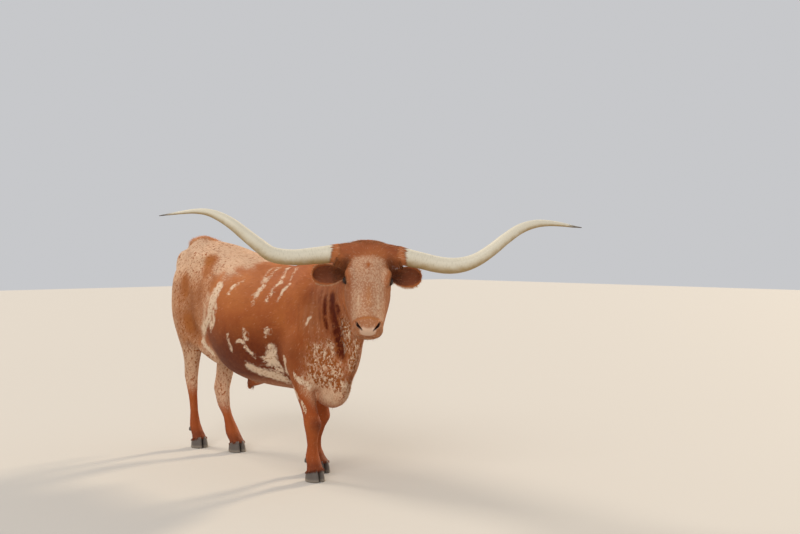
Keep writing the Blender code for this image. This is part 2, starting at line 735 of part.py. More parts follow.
def horn(name, left, collection, grow=0.0):
    """A horn as a tube that follows its double curve and tapers to the tip."""
    line = horn_line(left, HORN_SUNK + grow)
    return tube(name, [(place, radius + grow) for place, radius in line], HORN_SIDES, collection)


def ear_line(left):
    """The ear's root point and the way it reaches."""
    _, _, side = head_axes()
    ahead = Vector((-math.sin(HEAD_YAW), -math.cos(HEAD_YAW), 0.0))
    reach = (side * (left * 0.965) - Vector((0, 0, 1)) * EAR_DROOP - ahead * 0.10).normalized()
    return head_point(EAR_ROOT[0], EAR_ROOT[1], left * EAR_ROOT[2]), reach


def ear(name, left, collection):
    """A cupped leaf with a rolled root, thickened from one open surface."""
    root, axis = ear_line(left)
    ahead = Vector((-math.sin(HEAD_YAW), -math.cos(HEAD_YAW), 0.0))
    facing = ahead - Vector((0, 0, 1)) * 0.25
    open_to = (facing - axis * facing.dot(axis)).normalized()
    across = axis.cross(open_to)
    mesh = bmesh.new()
    rows, columns = 10, 8
    grid = []
    for i in range(rows + 1):
        s = i / rows
        half = EAR_HALF_WIDTH * float(np.interp(s, [0, 0.15, 0.35, 0.6, 0.8, 0.92, 1.0],
                                                [0.62, 0.80, 1.00, 1.05, 0.93, 0.70, 0.30]))
        curl = float(np.interp(s, [0, 0.2, 0.5, 1.0], [2.25, 1.80, 1.15, 0.75]))
        radius = half / curl * (1.25 if s < 0.2 else 1.15)
        line = []
        for j in range(columns + 1):
            turn = curl * (2 * j / columns - 1)
            place = root + axis * (s * (EAR_LENGTH + 0.015) - 0.015)
            place += across * (radius * math.sin(turn)) + open_to * (radius * (0.55 - math.cos(turn)))
            line.append(mesh.verts.new(place))
        grid.append(line)
    for a, b in zip(grid, grid[1:]):
        for j in range(columns):
            mesh.faces.new((a[j], a[j + 1], b[j + 1], b[j]))
    bmesh.ops.recalc_face_normals(mesh, faces=mesh.faces)
    made = object_of(name, mesh, collection)
    shell = made.modifiers.new("wall", "SOLIDIFY")
    shell.thickness = EAR_THICKNESS
    shell.offset = 0.0
    settle(made)
    tidy(made)
    combine(made, block("root_" + name, root + axis * GAP, axis, 0.5, CUTTERS, 0.4), "INTERSECT")
    keep_largest(made)
    return made


def trim_ear_stub(head, left):
    """Cuts the head's ear stub flat, where the ear sits on it."""
    root, axis = ear_line(left)
    combine(head, block("stub_%d" % left, root, axis, 0.06, CUTTERS, 0.11), "DIFFERENCE")


def eye_axes(left):
    """The eye's middle, with its directions: outwards, along the lids, and across them."""
    along, brow, side = head_axes()
    out = (along * EYE_LOOK[0] + brow * EYE_LOOK[1] + side * (left * EYE_LOOK[2])).normalized()
    lids = (along * 0.93 - brow * 0.36)
    lids = (lids - out * out.dot(lids)).normalized()
    return head_point(*EYE_PLACE[:2], left * EYE_PLACE[2]), out, lids, out.cross(lids)


def eyeball(name, left, collection, grow=0.0):
    mesh = bmesh.new()
    centre, out, _, _ = eye_axes(left)
    turn = out.to_track_quat("Z", "Y").to_matrix().to_4x4()
    bmesh.ops.create_uvsphere(mesh, u_segments=12, v_segments=9, radius=EYE_RADIUS + grow,
                              matrix=Matrix.Translation(centre) @ turn)
    return object_of(name, mesh, collection)


def lid_opening(name, left, collection):
    """A prism with an almond outline that opens the lids over the eyeball."""
    centre, out, lids, across = eye_axes(left)
    mesh = bmesh.new()
    outline = []
    for side in (1, -1):
        for i in range(9):
            t = side * (1 - 2 * i / 9)
            lift = LID_HALF_HEIGHT * (1 - abs(t) ** 2.2) * side
            outline.append(lids * (t * LID_HALF_LENGTH) + across * lift)
    add_rings(mesh, [[centre + out * depth + p * grow for p in outline]
                     for depth, grow in ((0.012, 0.80), (0.045, 1.30))])
    return object_of(name, mesh, collection)


def nostril(name, left, collection):
    points = [head_point(d, o, left * w) for (d, o, w), _ in NOSTRIL]
    return tube(name, along_curve(points, [r for _, r in NOSTRIL], 2), 8, collection)


def mouth_groove(collection):
    """A thin plate, shaped like a horseshoe, that cuts the line of the lips."""
    along, brow, side = head_axes()
    stations = np.array(smooth_rows(HEAD, 6))
    inner, outer = [], []
    for down, out in smooth_rows(MOUTH, 2):
        width = np.interp(down, stations[:, 0], stations[:, 3])
        low = np.interp(down, stations[:, 0], stations[:, 4] - stations[:, 2])
        level = (np.interp(down, stations[:, 0], stations[:, 4]) - out) / low
        edge = max(0.02, width * math.sqrt(max(0.05, 1 - level * level)) - MOUTH_DEPTH)
        if down > 0.53:
            edge *= 0.72
        inner.append((down, out, edge))
        outer.append((down, out, 0.12))
    front = inner[-1][0]
    inner[-1] = (front - 0.012, inner[-1][1], inner[-1][2])
    outer[-1] = (front + 0.06, outer[-1][1], 0.12)
    path = [(d, o, w) for d, o, w in inner] + [(d, o, -w) for d, o, w in inner[::-1]]
    rim = [(d, o, w) for d, o, w in outer] + [(d, o, -w) for d, o, w in outer[::-1]]
    mesh = bmesh.new()
    layers = []
    for shift in (-MOUTH_HEIGHT / 2, MOUTH_HEIGHT / 2):
        layers.append([[mesh.verts.new(head_point(d, o + shift, w)) for d, o, w in line] for line in (path, rim)])
    (low_in, low_out), (high_in, high_out) = layers
    for i in range(len(path) - 1):
        mesh.faces.new((low_in[i], low_in[i + 1], low_out[i + 1], low_out[i]))
        mesh.faces.new((high_in[i], high_out[i], high_out[i + 1], high_in[i + 1]))
        mesh.faces.new((low_in[i], high_in[i], high_in[i + 1], low_in[i + 1]))
        mesh.faces.new((low_out[i], low_out[i + 1], high_out[i + 1], high_out[i]))
    for i in (0, -1):
        mesh.faces.new((low_in[i], low_out[i], high_out[i], high_in[i]))
    bmesh.ops.recalc_face_normals(mesh, faces=mesh.faces)
    bmesh.ops.triangulate(mesh, faces=mesh.faces)
    return object_of("mouth_groove", mesh, collection)


# Feet and tail

def coronet_plane(foot):
    """The slanting top of a hoof: high at the toe, low at the heel."""
    rise = (CLAW_HEIGHT - CLAW_HEEL_HEIGHT) / CLAW_LENGTH
    point = Vector((foot[0], foot[1] - CLAW_LENGTH / 2, CLAW_HEIGHT))
    return point, Vector((0.0, rise, 1.0)).normalized()


def claw(name, foot, out, collection):
    """Half a hoof: flat sole, straight inner wall, and an outer wall that leans in towards the coronet."""
    mesh = bmesh.new()
    top, normal = coronet_plane(foot)
    rings = []
    for level, length, width, back in ((0.0, 0.94, 0.96, 0.0), (0.06, 1.0, 1.0, 0.0), (0.55, 0.93, 0.96, 0.004),
                                       (1.0, 0.86, 0.90, 0.009)):
        points = []
        for i in range(12):
            turn = 2 * math.pi * i / 12
            ahead, wide = math.cos(turn), math.sin(turn)
            reach = CLAW_LENGTH * (0.53 if ahead > 0 else 0.44) * length
            narrow = 1 - 0.34 * max(0.0, ahead) ** 2 - 0.12 * max(0.0, -ahead) ** 2
            x = CLEFT / 2 + max(0.0, 0.44 + 0.56 * wide) * CLAW_WIDTH * narrow * width
            y = foot[1] - ahead * reach + back
            z = level * (top.z - GAP - (y - top.y) * normal.y / normal.z)
            points.append(Vector((foot[0] + out * x, y, z)))
        rings.append(points)
    add_rings(mesh, rings)
    made = object_of(name, mesh, collection)
    tidy(made)
    return made


def dewclaw(name, foot, out, fetlock, collection, grow=0.0):
    """A small blunt cone of horn behind the fetlock."""
    y = foot[1] + fetlock[0] + fetlock[2] * 0.72
    start = Vector((foot[0] + out * 0.022, y - 0.014, fetlock[1] + 0.005))
    end = Vector((foot[0] + out * 0.026, y + 0.004, fetlock[1] - DEWCLAW_LENGTH * 0.60))
    along = (end - start).normalized()
    rows = [(start - along * (0.004 + grow), 0.72), (start, 1.0), (end, 0.66), (end + along * (0.006 + grow), 0.30)]
    return tube(name, [(place, DEWCLAW_RADIUS * size + grow) for place, size in rows], 8, collection)


def tail(name, collection, grow=0.0):
    rows = along_curve([p for p, _ in TAIL], [r + grow for _, r in TAIL], 3)
    rows[0] = (rows[0][0] - Vector((0, grow, 0)), rows[0][1])
    made = tube(name, rows, 12, collection)
    combine(made, block("above_" + name, (0, 0.4, SWITCH_TOP), (0, 0, 1), 1.5, CUTTERS), "INTERSECT")
    return made


def add_lock(mesh, points, width, thickness, facing):
    """One flat lock of hair, which bends through its points and narrows to its tip."""
    rows = smooth_rows(points, 1)
    rings = []
    for i, row in enumerate(rows):
        along = (Vector(rows[min(i + 1, len(rows) - 1)]) - Vector(rows[max(i - 1, 0)])).normalized()
        across = along.cross(Vector(facing)).normalized()
        thick = across.cross(along)
        size = 1.0 if i == 0 else (1 - i / (len(rows) - 1)) ** 0.6 * 0.95 + 0.05
        rings.append([Vector(row) + across * (width / 2 * size), Vector(row) + thick * (thickness / 2 * size),
                      Vector(row) - across * (width / 2 * size), Vector(row) - thick * (thickness / 2 * size)])
    add_rings(mesh, rings)


def switch(collection):
    """The brush of long hair at the tail's end: a core with locks rooted in it all the way down."""
    rng = np.random.default_rng(6)
    mesh = bmesh.new()
    add_limb(mesh, [p for p, _ in SWITCH_CORE], [r for _, r in SWITCH_CORE], sides=10, steps=3)
    core = object_of("tail_switch", mesh, collection)
    heights = np.array([p[2] for p, _ in SWITCH_CORE])[::-1]
    radii = np.array([r for _, r in SWITCH_CORE])[::-1]
    for i in range(SWITCH_LOCKS):
        turn = i * 2.399963 + rng.uniform(-0.25, 0.25)
        level = 0.735 - 0.320 * (i / SWITCH_LOCKS) ** 0.9
        length = min(rng.uniform(0.20, 0.26), level - SWITCH_TIP + rng.uniform(0.0, 0.03))
        spread = Vector((math.cos(turn), math.sin(turn), 0))
        radius = float(np.interp(level, heights, radii))
        path = []
        for t, proud in ((0.0, -0.009), (0.35, 0.004), (0.7, 0.009), (1.0, 0.001)):
            z = level - length * t
            here = float(np.interp(z, heights, radii)) if z > heights[0] else radii[0] * 0.8
            drift = Vector((-spread.y, spread.x, 0)) * (rng.uniform(-0.004, 0.004) * t)
            place = Vector((0.0285, 0.4215, z)) + spread * (min(here, radius * 1.05) + proud) + drift
            path.append(tuple(place))
        lock = bmesh.new()
        add_lock(lock, path, rng.uniform(0.022, 0.030), 0.011, spread)
        combine(core, object_of("lock_%02d" % i, lock, CUTTERS), "UNION")
        keep_largest(core)
    combine(core, block("below_tail", (0, 0.4, SWITCH_TOP - GAP), (0, 0, -1), 1.5, CUTTERS), "INTERSECT")
    keep_largest(core)
    return core


# The finished animal

def main():
    flesh = fused_flesh(MODEL)
    head = fused_head(MODEL)
    pieces = part_flesh(flesh, head, MODEL)
    for name, left in (("left", 1), ("right", -1)):
        pieces["horn_" + name] = horn("horn_" + name, left, MODEL)
        combine(head, horn("socket_horn_" + name, left, CUTTERS, GAP * 1.6), "DIFFERENCE")
        trim_ear_stub(head, left)
        pieces["ear_" + name] = ear("ear_" + name, left, MODEL)
        pieces["eye_" + name] = eyeball("eye_" + name, left, MODEL)
        combine(head, eyeball("socket_eye_" + name, left, CUTTERS, GAP * 1.6), "DIFFERENCE")
        combine(head, lid_opening("lids_" + name, left, CUTTERS), "DIFFERENCE")
        combine(head, nostril("nostril_" + name, left, CUTTERS), "DIFFERENCE")
    combine(head, mouth_groove(CUTTERS), "DIFFERENCE")
    keep_largest(head)

    for name, foot in HOOVES.items():
        leg = pieces["leg_" + name]
        point, normal = coronet_plane(foot)
        combine(leg, block("sole_" + name, point, normal, 2.0, CUTTERS), "INTERSECT")
        keep_largest(leg)
        fetlock = FORE_FETLOCK if name.startswith("fore") else HIND_FETLOCK
        for side, out in (("left", 1), ("right", -1)):
            claw("claw_%s_%s" % (name, side), foot, out, MODEL)
            dewclaw("dewclaw_%s_%s" % (name, side), foot, out, fetlock, MODEL)
            socket = dewclaw("socket_%s_%s" % (name, side), foot, out, fetlock, CUTTERS, GAP * 1.6)
            combine(leg, socket, "DIFFERENCE")
        keep_largest(leg)

    tail("tail", MODEL)
    combine(flesh, tail("socket_tail", CUTTERS, GAP * 1.6), "DIFFERENCE")
    keep_largest(flesh)
    switch(MODEL)
    finish()


def finish():
    """Centres the animal over the origin on its soles, and gives every piece its material."""
    paint = {"horn": material("horn", HORN_IVORY, 0.40), "ear": material("ear_skin", COAT_RED, 0.80),
             "eye": material("eye", EYE_BROWN, 0.05), "claw": material("hoof", HOOF_GREY, 0.45),
             "dewclaw": material("dewclaw", HOOF_GREY, 0.45), "tail": material("tail_hair", COAT_RED, 0.85)}
    coat = material("coat", COAT_RED, 0.85)
    for made in MODEL.objects:
        made.data.materials.clear()
        made.data.materials.append(paint.get(made.name.split("_")[0], coat))
        made.data.polygons.foreach_set("use_smooth", [True] * len(made.data.polygons))
        made.data.set_sharp_from_angle(angle=math.radians(40))
    corners = np.array([v.co for made in MODEL.objects for v in made.data.vertices])
    low, high = corners.min(axis=0), corners.max(axis=0)
    shift = Vector((-(low[0] + high[0]) / 2, -(low[1] + high[1]) / 2, -low[2]))
    for made in MODEL.objects:
        made.data.transform(Matrix.Translation(shift))
    for cutter in CUTTERS.objects:
        cutter.hide_render = True
        cutter.display_type = "WIRE"


clear_scene()
MODEL = new_collection("longhorn")
CUTTERS = new_collection("cutters")
main()
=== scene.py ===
# %% [markdown]
# # A Texas longhorn steer, life size
#
# The solids already give the animal's true outline. Here it gets its skin, its coat of short hair, its horns,
# eyes and hooves, and the red and white markings. Everything is in metres, in the same frame as the solids.
# Working coordinates are the animal's own: it faces -Y, its left side is +X, and it stands on Z = 0.

import math
from types import SimpleNamespace

import bmesh
import bpy
import numpy as np
from mathutils import Matrix, Vector
from mathutils.bvhtree import BVHTree


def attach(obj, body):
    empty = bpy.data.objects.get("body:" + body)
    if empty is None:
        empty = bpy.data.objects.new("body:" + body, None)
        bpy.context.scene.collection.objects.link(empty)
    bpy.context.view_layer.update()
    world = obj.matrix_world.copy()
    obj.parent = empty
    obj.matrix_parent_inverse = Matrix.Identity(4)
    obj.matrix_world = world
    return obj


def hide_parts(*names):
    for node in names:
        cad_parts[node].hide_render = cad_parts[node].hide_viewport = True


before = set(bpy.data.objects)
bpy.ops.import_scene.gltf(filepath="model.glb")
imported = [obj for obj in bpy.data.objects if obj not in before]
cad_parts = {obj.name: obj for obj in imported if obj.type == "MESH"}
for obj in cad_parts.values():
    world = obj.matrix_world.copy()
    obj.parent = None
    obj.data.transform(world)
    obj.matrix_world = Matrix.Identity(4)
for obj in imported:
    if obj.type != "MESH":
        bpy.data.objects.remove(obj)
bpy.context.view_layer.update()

SHIFT = np.array([0.09684759, 1.03718126, 0.0])  # from the animal's own coordinates to the frame's
FLESH = ["torso", "neck", "head", "leg_fore_left", "leg_fore_right", "leg_hind_left", "leg_hind_right"]
SIDES = ((1, "left"), (-1, "right"))
SKIN_GRAIN = 0.0040  # the voxel of the remesh
SKIN_FACES = 154000  # what the thinning leaves
COAT_DEPTH = 0.0022  # how deep the skin of the trunk lies below the solids
RNG = np.random.default_rng(11)  # a fixed seed, so that every run grows the same coat


# %% [markdown]
# ## The head's own directions
#
# A head is turned and tilted against the body, so its features are easiest to place in its own directions:
# down the face, out of the forehead, and to the animal's left. One function turns such a place into the
# frame's coordinates. Eyes and nostrils placed by hand in the world would be lost as soon as the head turns.

# %% Head directions
POLL = np.array([-0.184, -1.880, 1.448]) + SHIFT
HEAD_YAW = math.radians(37.2)
HEAD_SLOPE = math.radians(52.0)
HEAD_ROLL = math.radians(-2.0)
AHEAD = Vector((-math.sin(HEAD_YAW), -math.cos(HEAD_YAW), 0.0))
ROLLED = Matrix.Rotation(HEAD_ROLL, 3, AHEAD)
DOWN = np.array(ROLLED @ (AHEAD * math.cos(HEAD_SLOPE) - Vector((0, 0, math.sin(HEAD_SLOPE)))))
OUT = np.array(ROLLED @ (AHEAD * math.sin(HEAD_SLOPE) + Vector((0, 0, math.cos(HEAD_SLOPE)))))
LEFT = np.array(ROLLED @ Vector((0, 0, 1)).cross(AHEAD))
UP_HEAD = np.array(AHEAD.cross(Vector(LEFT)))
AHEAD = np.array(AHEAD)


def head_point(down, out, left):
    return POLL + DOWN * down + OUT * out + LEFT * left


def body_point(x, y, z):
    return np.array([x, y, z]) + SHIFT


def unit(v):
    v = np.asarray(v, float)
    return v / np.maximum(np.linalg.norm(v, axis=-1, keepdims=True), 1e-9)


def smooth_rows(rows, steps):
    """Rows of numbers, with more between them on a Catmull-Rom curve."""
    data = np.array(rows, float)
    padded = np.vstack([2 * data[0] - data[1], data, 2 * data[-1] - data[-2]])
    made = []
    for i in range(len(data) - 1):
        before, start, end, after = padded[i:i + 4]
        for t in np.arange(steps) / steps:
            made.append(0.5 * (2 * start + (end - before) * t
                               + (2 * before - 5 * start + 4 * end - after) * t * t
                               + (3 * start - before - 3 * end + after) * t ** 3))
    made.append(data[-1])
    return np.array(made)


# %% [markdown]
# ## Mesh helpers
#
# Small functions that turn arrays of points and faces into objects, and that finish them with a modifier.
# Working on whole arrays at once keeps a skin of a hundred thousand points quick to shape.

# %% Making and selecting objects
def deselect():
    bpy.ops.object.select_all(action="DESELECT")


def new_object(name, data):
    """An object in the scene for a mesh, curve, lamp or camera."""
    made = bpy.data.objects.new(name, data)
    bpy.context.scene.collection.objects.link(made)
    return made


def smooth_faces(obj):
    obj.data.polygons.foreach_set("use_smooth", [True] * len(obj.data.polygons))


def object_from(name, points, faces):
    data = bpy.data.meshes.new(name)
    data.from_pydata([tuple(p) for p in points], [], [tuple(f) for f in faces])
    data.update()
    made = new_object(name, data)
    smooth_faces(made)
    return made


def select_only(obj):
    deselect()
    obj.select_set(True)
    bpy.context.view_layer.objects.active = obj


def join_objects(objects, name):
    deselect()
    for obj in objects:
        obj.select_set(True)
    bpy.context.view_layer.objects.active = objects[0]
    bpy.ops.object.join()
    objects[0].name = name
    objects[0].data.name = name
    return objects[0]


def apply_modifier(obj, kind, **settings):
    select_only(obj)
    modifier = obj.modifiers.new(kind.lower(), kind)
    for key, value in settings.items():
        setattr(modifier, key, value)
    bpy.ops.object.modifier_apply(modifier=modifier.name)


def face_outwards(obj, merge=None):
    """Merges points closer than merge, if it is given, and turns every face outwards."""
    mesh = bmesh.new()
    mesh.from_mesh(obj.data)
    if merge:
        bmesh.ops.remove_doubles(mesh, verts=mesh.verts, dist=merge)
    bmesh.ops.recalc_face_normals(mesh, faces=mesh.faces)
    mesh.to_mesh(obj.data)
    mesh.free()


def tree_of(obj):
    """A search tree of an object's faces, which finds the nearest place on it."""
    return BVHTree.FromObject(obj, bpy.context.evaluated_depsgraph_get())


# %% Points, weights and stored values
def points_of(obj):
    flat = np.empty(len(obj.data.vertices) * 3, np.float32)
    obj.data.vertices.foreach_get("co", flat)
    return flat.reshape(-1, 3).astype(float)


def normals_of(obj):
    flat = np.empty(len(obj.data.vertices) * 3, np.float32)
    obj.data.vertices.foreach_get("normal", flat)
    return flat.reshape(-1, 3).astype(float)


def move_points(obj, points):
    obj.data.vertices.foreach_set("co", np.asarray(points, np.float32).ravel())
    obj.data.update()


WEIGHT_STEPS = 20


def weigh(obj, name, weights):
    """A vertex group from an array of weights, set in steps so that it stays quick."""
    group = obj.vertex_groups.new(name=name)
    levels = np.round(np.clip(weights, 0, 1) * WEIGHT_STEPS).astype(int)
    for level in range(WEIGHT_STEPS + 1):
        which = np.nonzero(levels == level)[0]
        if len(which):
            group.add(which.tolist(), level / WEIGHT_STEPS, "REPLACE")


STORED_AS = {"mark": ("FLOAT_COLOR", "color"), "tone": ("FLOAT_COLOR", "color"), "chance": ("FLOAT", "value")}


def store(obj, name, values):
    """Keeps a colour, a number or, for every other name, a vector for each point of a mesh."""
    kind, part = STORED_AS.get(name, ("FLOAT_VECTOR", "vector"))
    if kind == "FLOAT_COLOR":
        values = np.concatenate([values, np.ones((len(values), 1))], axis=1)
    layer = obj.data.attributes.new(name, kind, "POINT")
    layer.data.foreach_set(part, values.astype(np.float32).ravel())


# %% Tubes through rings of points
def ring_mesh(name, rings):
    rings = np.asarray(rings)
    count, sides = rings.shape[:2]
    faces = []
    for a in range(count - 1):
        for i in range(sides):
            j = (i + 1) % sides
            faces.append((a * sides + i, a * sides + j, (a + 1) * sides + j, (a + 1) * sides + i))
    faces.append(tuple(range(sides))[::-1])
    faces.append(tuple((count - 1) * sides + i for i in range(sides)))
    made = object_from(name, rings.reshape(-1, 3), faces)
    face_outwards(made)
    return made


def ways_across(points):
    """For each point of a line, two directions across it that don't twist."""
    along = unit(np.gradient(points, axis=0))
    across = [unit(np.cross(along[0], (0.31, 0.17, 0.93)))]
    for step in along[1:]:
        across.append(unit(across[-1] - step * np.dot(across[-1], step)))
    across = np.array(across)
    return across, np.cross(along, across)


# %% [markdown]
# ## The skin
#
# The real hide is one unbroken surface. The solids of head, neck, trunk and legs are copied and fused by a
# voxel remesh, which closes the hair-wide gaps between them, together with two ears and the bare tail, so
# that no seam shows where one grows from the other. A subdivision surface over each solid would keep seams.

# %% Ears as cupped leaves
EAR_ROOT = (0.110, -0.163, 0.122)
EAR_LENGTH = 0.184
EAR_HALF_WIDTH = 0.059


def ear_frame(left):
    side = LEFT * left
    reach = unit(side * 0.965 - np.array([0, 0, 1.0]) * 0.13 - AHEAD * 0.10)
    facing = AHEAD - np.array([0, 0, 1.0]) * 0.25
    open_to = unit(facing - reach * np.dot(facing, reach))
    return head_point(EAR_ROOT[0], EAR_ROOT[1], left * EAR_ROOT[2]), reach, open_to, np.cross(reach, open_to)


def ear_surface(left, s, turn_share):
    """A point of the ear's middle surface: s runs from root to tip, turn_share from edge to edge."""
    root, reach, open_to, across = ear_frame(left)
    half = EAR_HALF_WIDTH * np.interp(s, [0, 0.15, 0.35, 0.6, 0.8, 0.92, 0.975, 1.0],
                                      [0.62, 0.80, 1.00, 1.05, 0.93, 0.70, 0.44, 0.16])
    curl = np.interp(s, [0, 0.2, 0.5, 1.0], [2.25, 1.80, 1.15, 0.75])
    radius = half / curl * 1.17
    turn = curl * turn_share
    return (root + reach * (s * (EAR_LENGTH + 0.015) - 0.015) + across * (radius * math.sin(turn))
            + open_to * (radius * (0.55 - math.cos(turn))))


def ear_shell(left):
    rows, columns = 34, 26
    points, faces = [], []
    for i in range(rows + 1):
        for j in range(columns + 1):
            points.append(ear_surface(left, i / rows, 2 * j / columns - 1))
    for i in range(rows):
        for j in range(columns):
            a = i * (columns + 1) + j
            faces.append((a, a + 1, a + columns + 2, a + columns + 1))
    made = object_from("ear_shell_%d" % left, points, faces)
    apply_modifier(made, "SOLIDIFY", thickness=0.0092, offset=0.0, use_even_offset=True)
    return made


# %% The bare tail
TAIL = [(0.000, 0.225, 1.432, 0.040), (0.000, 0.305, 1.436, 0.038), (0.003, 0.366, 1.405, 0.033),
        (0.008, 0.408, 1.300, 0.027), (0.014, 0.422, 1.090, 0.022), (0.022, 0.424, 0.900, 0.018),
        (0.026, 0.424, 0.780, 0.015), (0.028, 0.422, 0.640, 0.012)]


def tail_shell():
    rows = smooth_rows(TAIL, 6)
    line = rows[:, :3] + SHIFT
    across, up = ways_across(line)
    turns = np.arange(16) * math.tau / 16
    rings = []
    for place, radius, a, b in zip(line, rows[:, 3], across, up):
        rings.append([place + (a * math.cos(t) + b * math.sin(t)) * (radius * 0.97) for t in turns])
    return ring_mesh("tail_shell", rings)


# %% Fillings behind the lids
EYE_RADIUS = 0.0205
EYE_PLACE = (0.238, -0.060, 0.113)  # down, out and left on the head
EYE_LOOK = (0.32, 0.44, 0.84)
LID_ALONG = (0.93, -0.36)
SOCKET_ROOM = 0.0045


def eye_frame(left):
    """The eye's centre, the way it looks, the way the lids run, and the way from lower to upper lid."""
    centre = head_point(EYE_PLACE[0], EYE_PLACE[1], left * EYE_PLACE[2])
    look = unit(DOWN * EYE_LOOK[0] + OUT * EYE_LOOK[1] + LEFT * left * EYE_LOOK[2])
    along = DOWN * LID_ALONG[0] + OUT * LID_ALONG[1]
    along = unit(along - look * np.dot(along, look))
    over = np.cross(along, look) * left
    return centre, look, along, over


def socket_filling(left):
    """A ball that fills the solid's eye socket, so that the lids can be shaped over it afterwards."""
    deselect()
    bpy.ops.mesh.primitive_uv_sphere_add(segments=32, ring_count=20, radius=EYE_RADIUS + SOCKET_ROOM)
    made = bpy.context.object
    move_points(made, points_of(made) + eye_frame(left)[0])
    return made


# %% Fusing the flesh into one skin
MERGE = 0.00002  # points closer than this are one


def flesh_copy(name):
    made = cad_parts[name].copy()
    made.data = made.data.copy()
    made.name = "flesh_" + name
    made.parent = None
    bpy.context.scene.collection.objects.link(made)
    face_outwards(made, MERGE)
    return made


pieces = [flesh_copy(name) for name in FLESH]
ear_shells = {left: ear_shell(left) for left in (1, -1)}
ear_trees = {left: tree_of(obj) for left, obj in ear_shells.items()}
pieces += [ear_shells[1], ear_shells[-1], tail_shell(), socket_filling(1), socket_filling(-1)]
for made in pieces:
    made.data.materials.clear()
skin = join_objects(pieces, "skin")
skin.hide_render = skin.hide_viewport = False
apply_modifier(skin, "REMESH", mode="VOXEL", voxel_size=SKIN_GRAIN, use_smooth_shade=True)
print("skin after the remesh:", len(skin.data.vertices), "points")


# %% Keeping only the outer surface
def keep_largest_island(obj):
    """Deletes every closed surface of a mesh but the one with the most points."""
    mesh = bmesh.new()
    mesh.from_mesh(obj.data)
    seen, islands = set(), []
    for start in mesh.verts:
        if start in seen:
            continue
        seen.add(start)
        island, front = [start], [start]
        while front:
            found = {e.other_vert(v) for v in front for e in v.link_edges}
            front = [v for v in found if v not in seen]
            seen.update(front)
            island.extend(front)
        islands.append(island)
    islands.sort(key=len)
    for island in islands[:-1]:
        bmesh.ops.delete(mesh, geom=island, context="VERTS")
    mesh.to_mesh(obj.data)
    mesh.free()
    print("closed surfaces found:", len(islands))


keep_largest_island(skin)


# %% [markdown]
# ## Evening out and thinning the skin
#
# The facets of the solids are far larger than the grain of the skin, so the broad forms are smoothed many
# times, the legs less, and the head least, where the lids and nostrils are small. Thinning then keeps most
# triangles on the head. A grain fine enough for the eyelids would need millions of triangles on the ribs.

# %% Smoothing and thinning
def head_places(points):
    """Down the face, out of the forehead, and to the left, for each point."""
    away = points - POLL
    return away @ DOWN, away @ OUT, away @ LEFT


def head_share(points):
    """1 on the head and ears, fading to 0 down the neck."""
    down, out, _ = head_places(points)
    across = (down + 0.018) * 0.857 + (out + 0.070) * 0.514
    above = out + 0.288
    return np.clip(np.minimum(across, above + 0.05) / 0.06 + 0.6, 0, 1)


SMOOTHING = (("limbs", 16), ("trunk", 90), ("face", 6))
points = points_of(skin)
on_head = head_share(points)
height = points[:, 2]
trunk = np.clip((height - 0.50) / 0.20, 0, 1) * (1 - on_head)
tail_part = (points[:, 1] - SHIFT[1] > 0.33) & (np.abs(points[:, 0] - SHIFT[0]) < 0.055) & (height > 0.6)
trunk[tail_part] *= 0.2
weigh(skin, "trunk", trunk)
weigh(skin, "limbs", np.clip(1 - on_head, 0, 1) * 0.9)
weigh(skin, "face", on_head)
for group, rounds in SMOOTHING:
    apply_modifier(skin, "SMOOTH", factor=0.5, iterations=rounds, vertex_group=group)
skin.vertex_groups.clear()

# %% Bringing the ears back to their own shape, and thinning
EAR_FREE = 0.022  # where the ear leaves the head, along its length
EAR_BLEND = 0.030
points = points_of(skin)
for left, tree in ear_trees.items():
    root, reach, _, _ = ear_frame(left)
    out_on_ear = (points - root) @ reach
    near = np.nonzero((out_on_ear > EAR_FREE) & (out_on_ear < 0.21))[0]
    for i in near:
        place = tree.find_nearest(Vector(points[i]), 0.014)[0]
        if place is not None:
            share = min(1.0, (out_on_ear[i] - EAR_FREE) / EAR_BLEND)
            points[i] += (np.array(place) - points[i]) * share
move_points(skin, points)
on_head = head_share(points)
weigh(skin, "keep", 0.12 + 0.88 * (1 - on_head) ** 1.5)
faces_now = len(skin.data.polygons) * 2
apply_modifier(skin, "DECIMATE", ratio=SKIN_FACES / faces_now, vertex_group="keep", vertex_group_factor=1.0,
               use_collapse_triangulate=True)
skin.vertex_groups.clear()
print("skin after thinning:", len(skin.data.polygons), "faces")


# %% [markdown]
# ## Room for the coat
#
# The solids reach to the tips of the hair, so the skin itself lies a little inside them: about two
# millimetres on the trunk, and about half of that or less on the face, ears and feet. The hair laid on it
# later brings it out to the solids' size. Hair on a skin of full size would make the animal too big.

# %% Pulling the skin in by the coat's depth
def step_up(value, low, high):
    """0 below low, 1 above high, and an even curve between."""
    t = np.clip((value - low) / (high - low), 0, 1)
    return t * t * (3 - 2 * t)


def ear_share(points):
    """1 on the ears, 0 elsewhere."""
    share = np.zeros(len(points))
    for left in (1, -1):
        root, reach, open_to, across = ear_frame(left)
        away = points - root
        out = away @ reach
        round_it = np.hypot(away @ across, away @ open_to)
        share = np.maximum(share, step_up(out, 0.010, 0.030) * (1 - step_up(round_it, 0.075, 0.090)))
    return share * (points[:, 2] > 1.1)


FOOT_DEPTH, FACE_DEPTH, EAR_DEPTH = 0.0007, 0.0012, 0.0004
points = points_of(skin)
depth = COAT_DEPTH * np.ones(len(points))
depth = np.where(points[:, 2] < 0.45, np.interp(points[:, 2], [0.08, 0.45], [FOOT_DEPTH, COAT_DEPTH]), depth)
depth = depth + (FACE_DEPTH - depth) * head_share(points)
depth = depth + (EAR_DEPTH - depth) * ear_share(points)
move_points(skin, points - normals_of(skin) * depth[:, None])


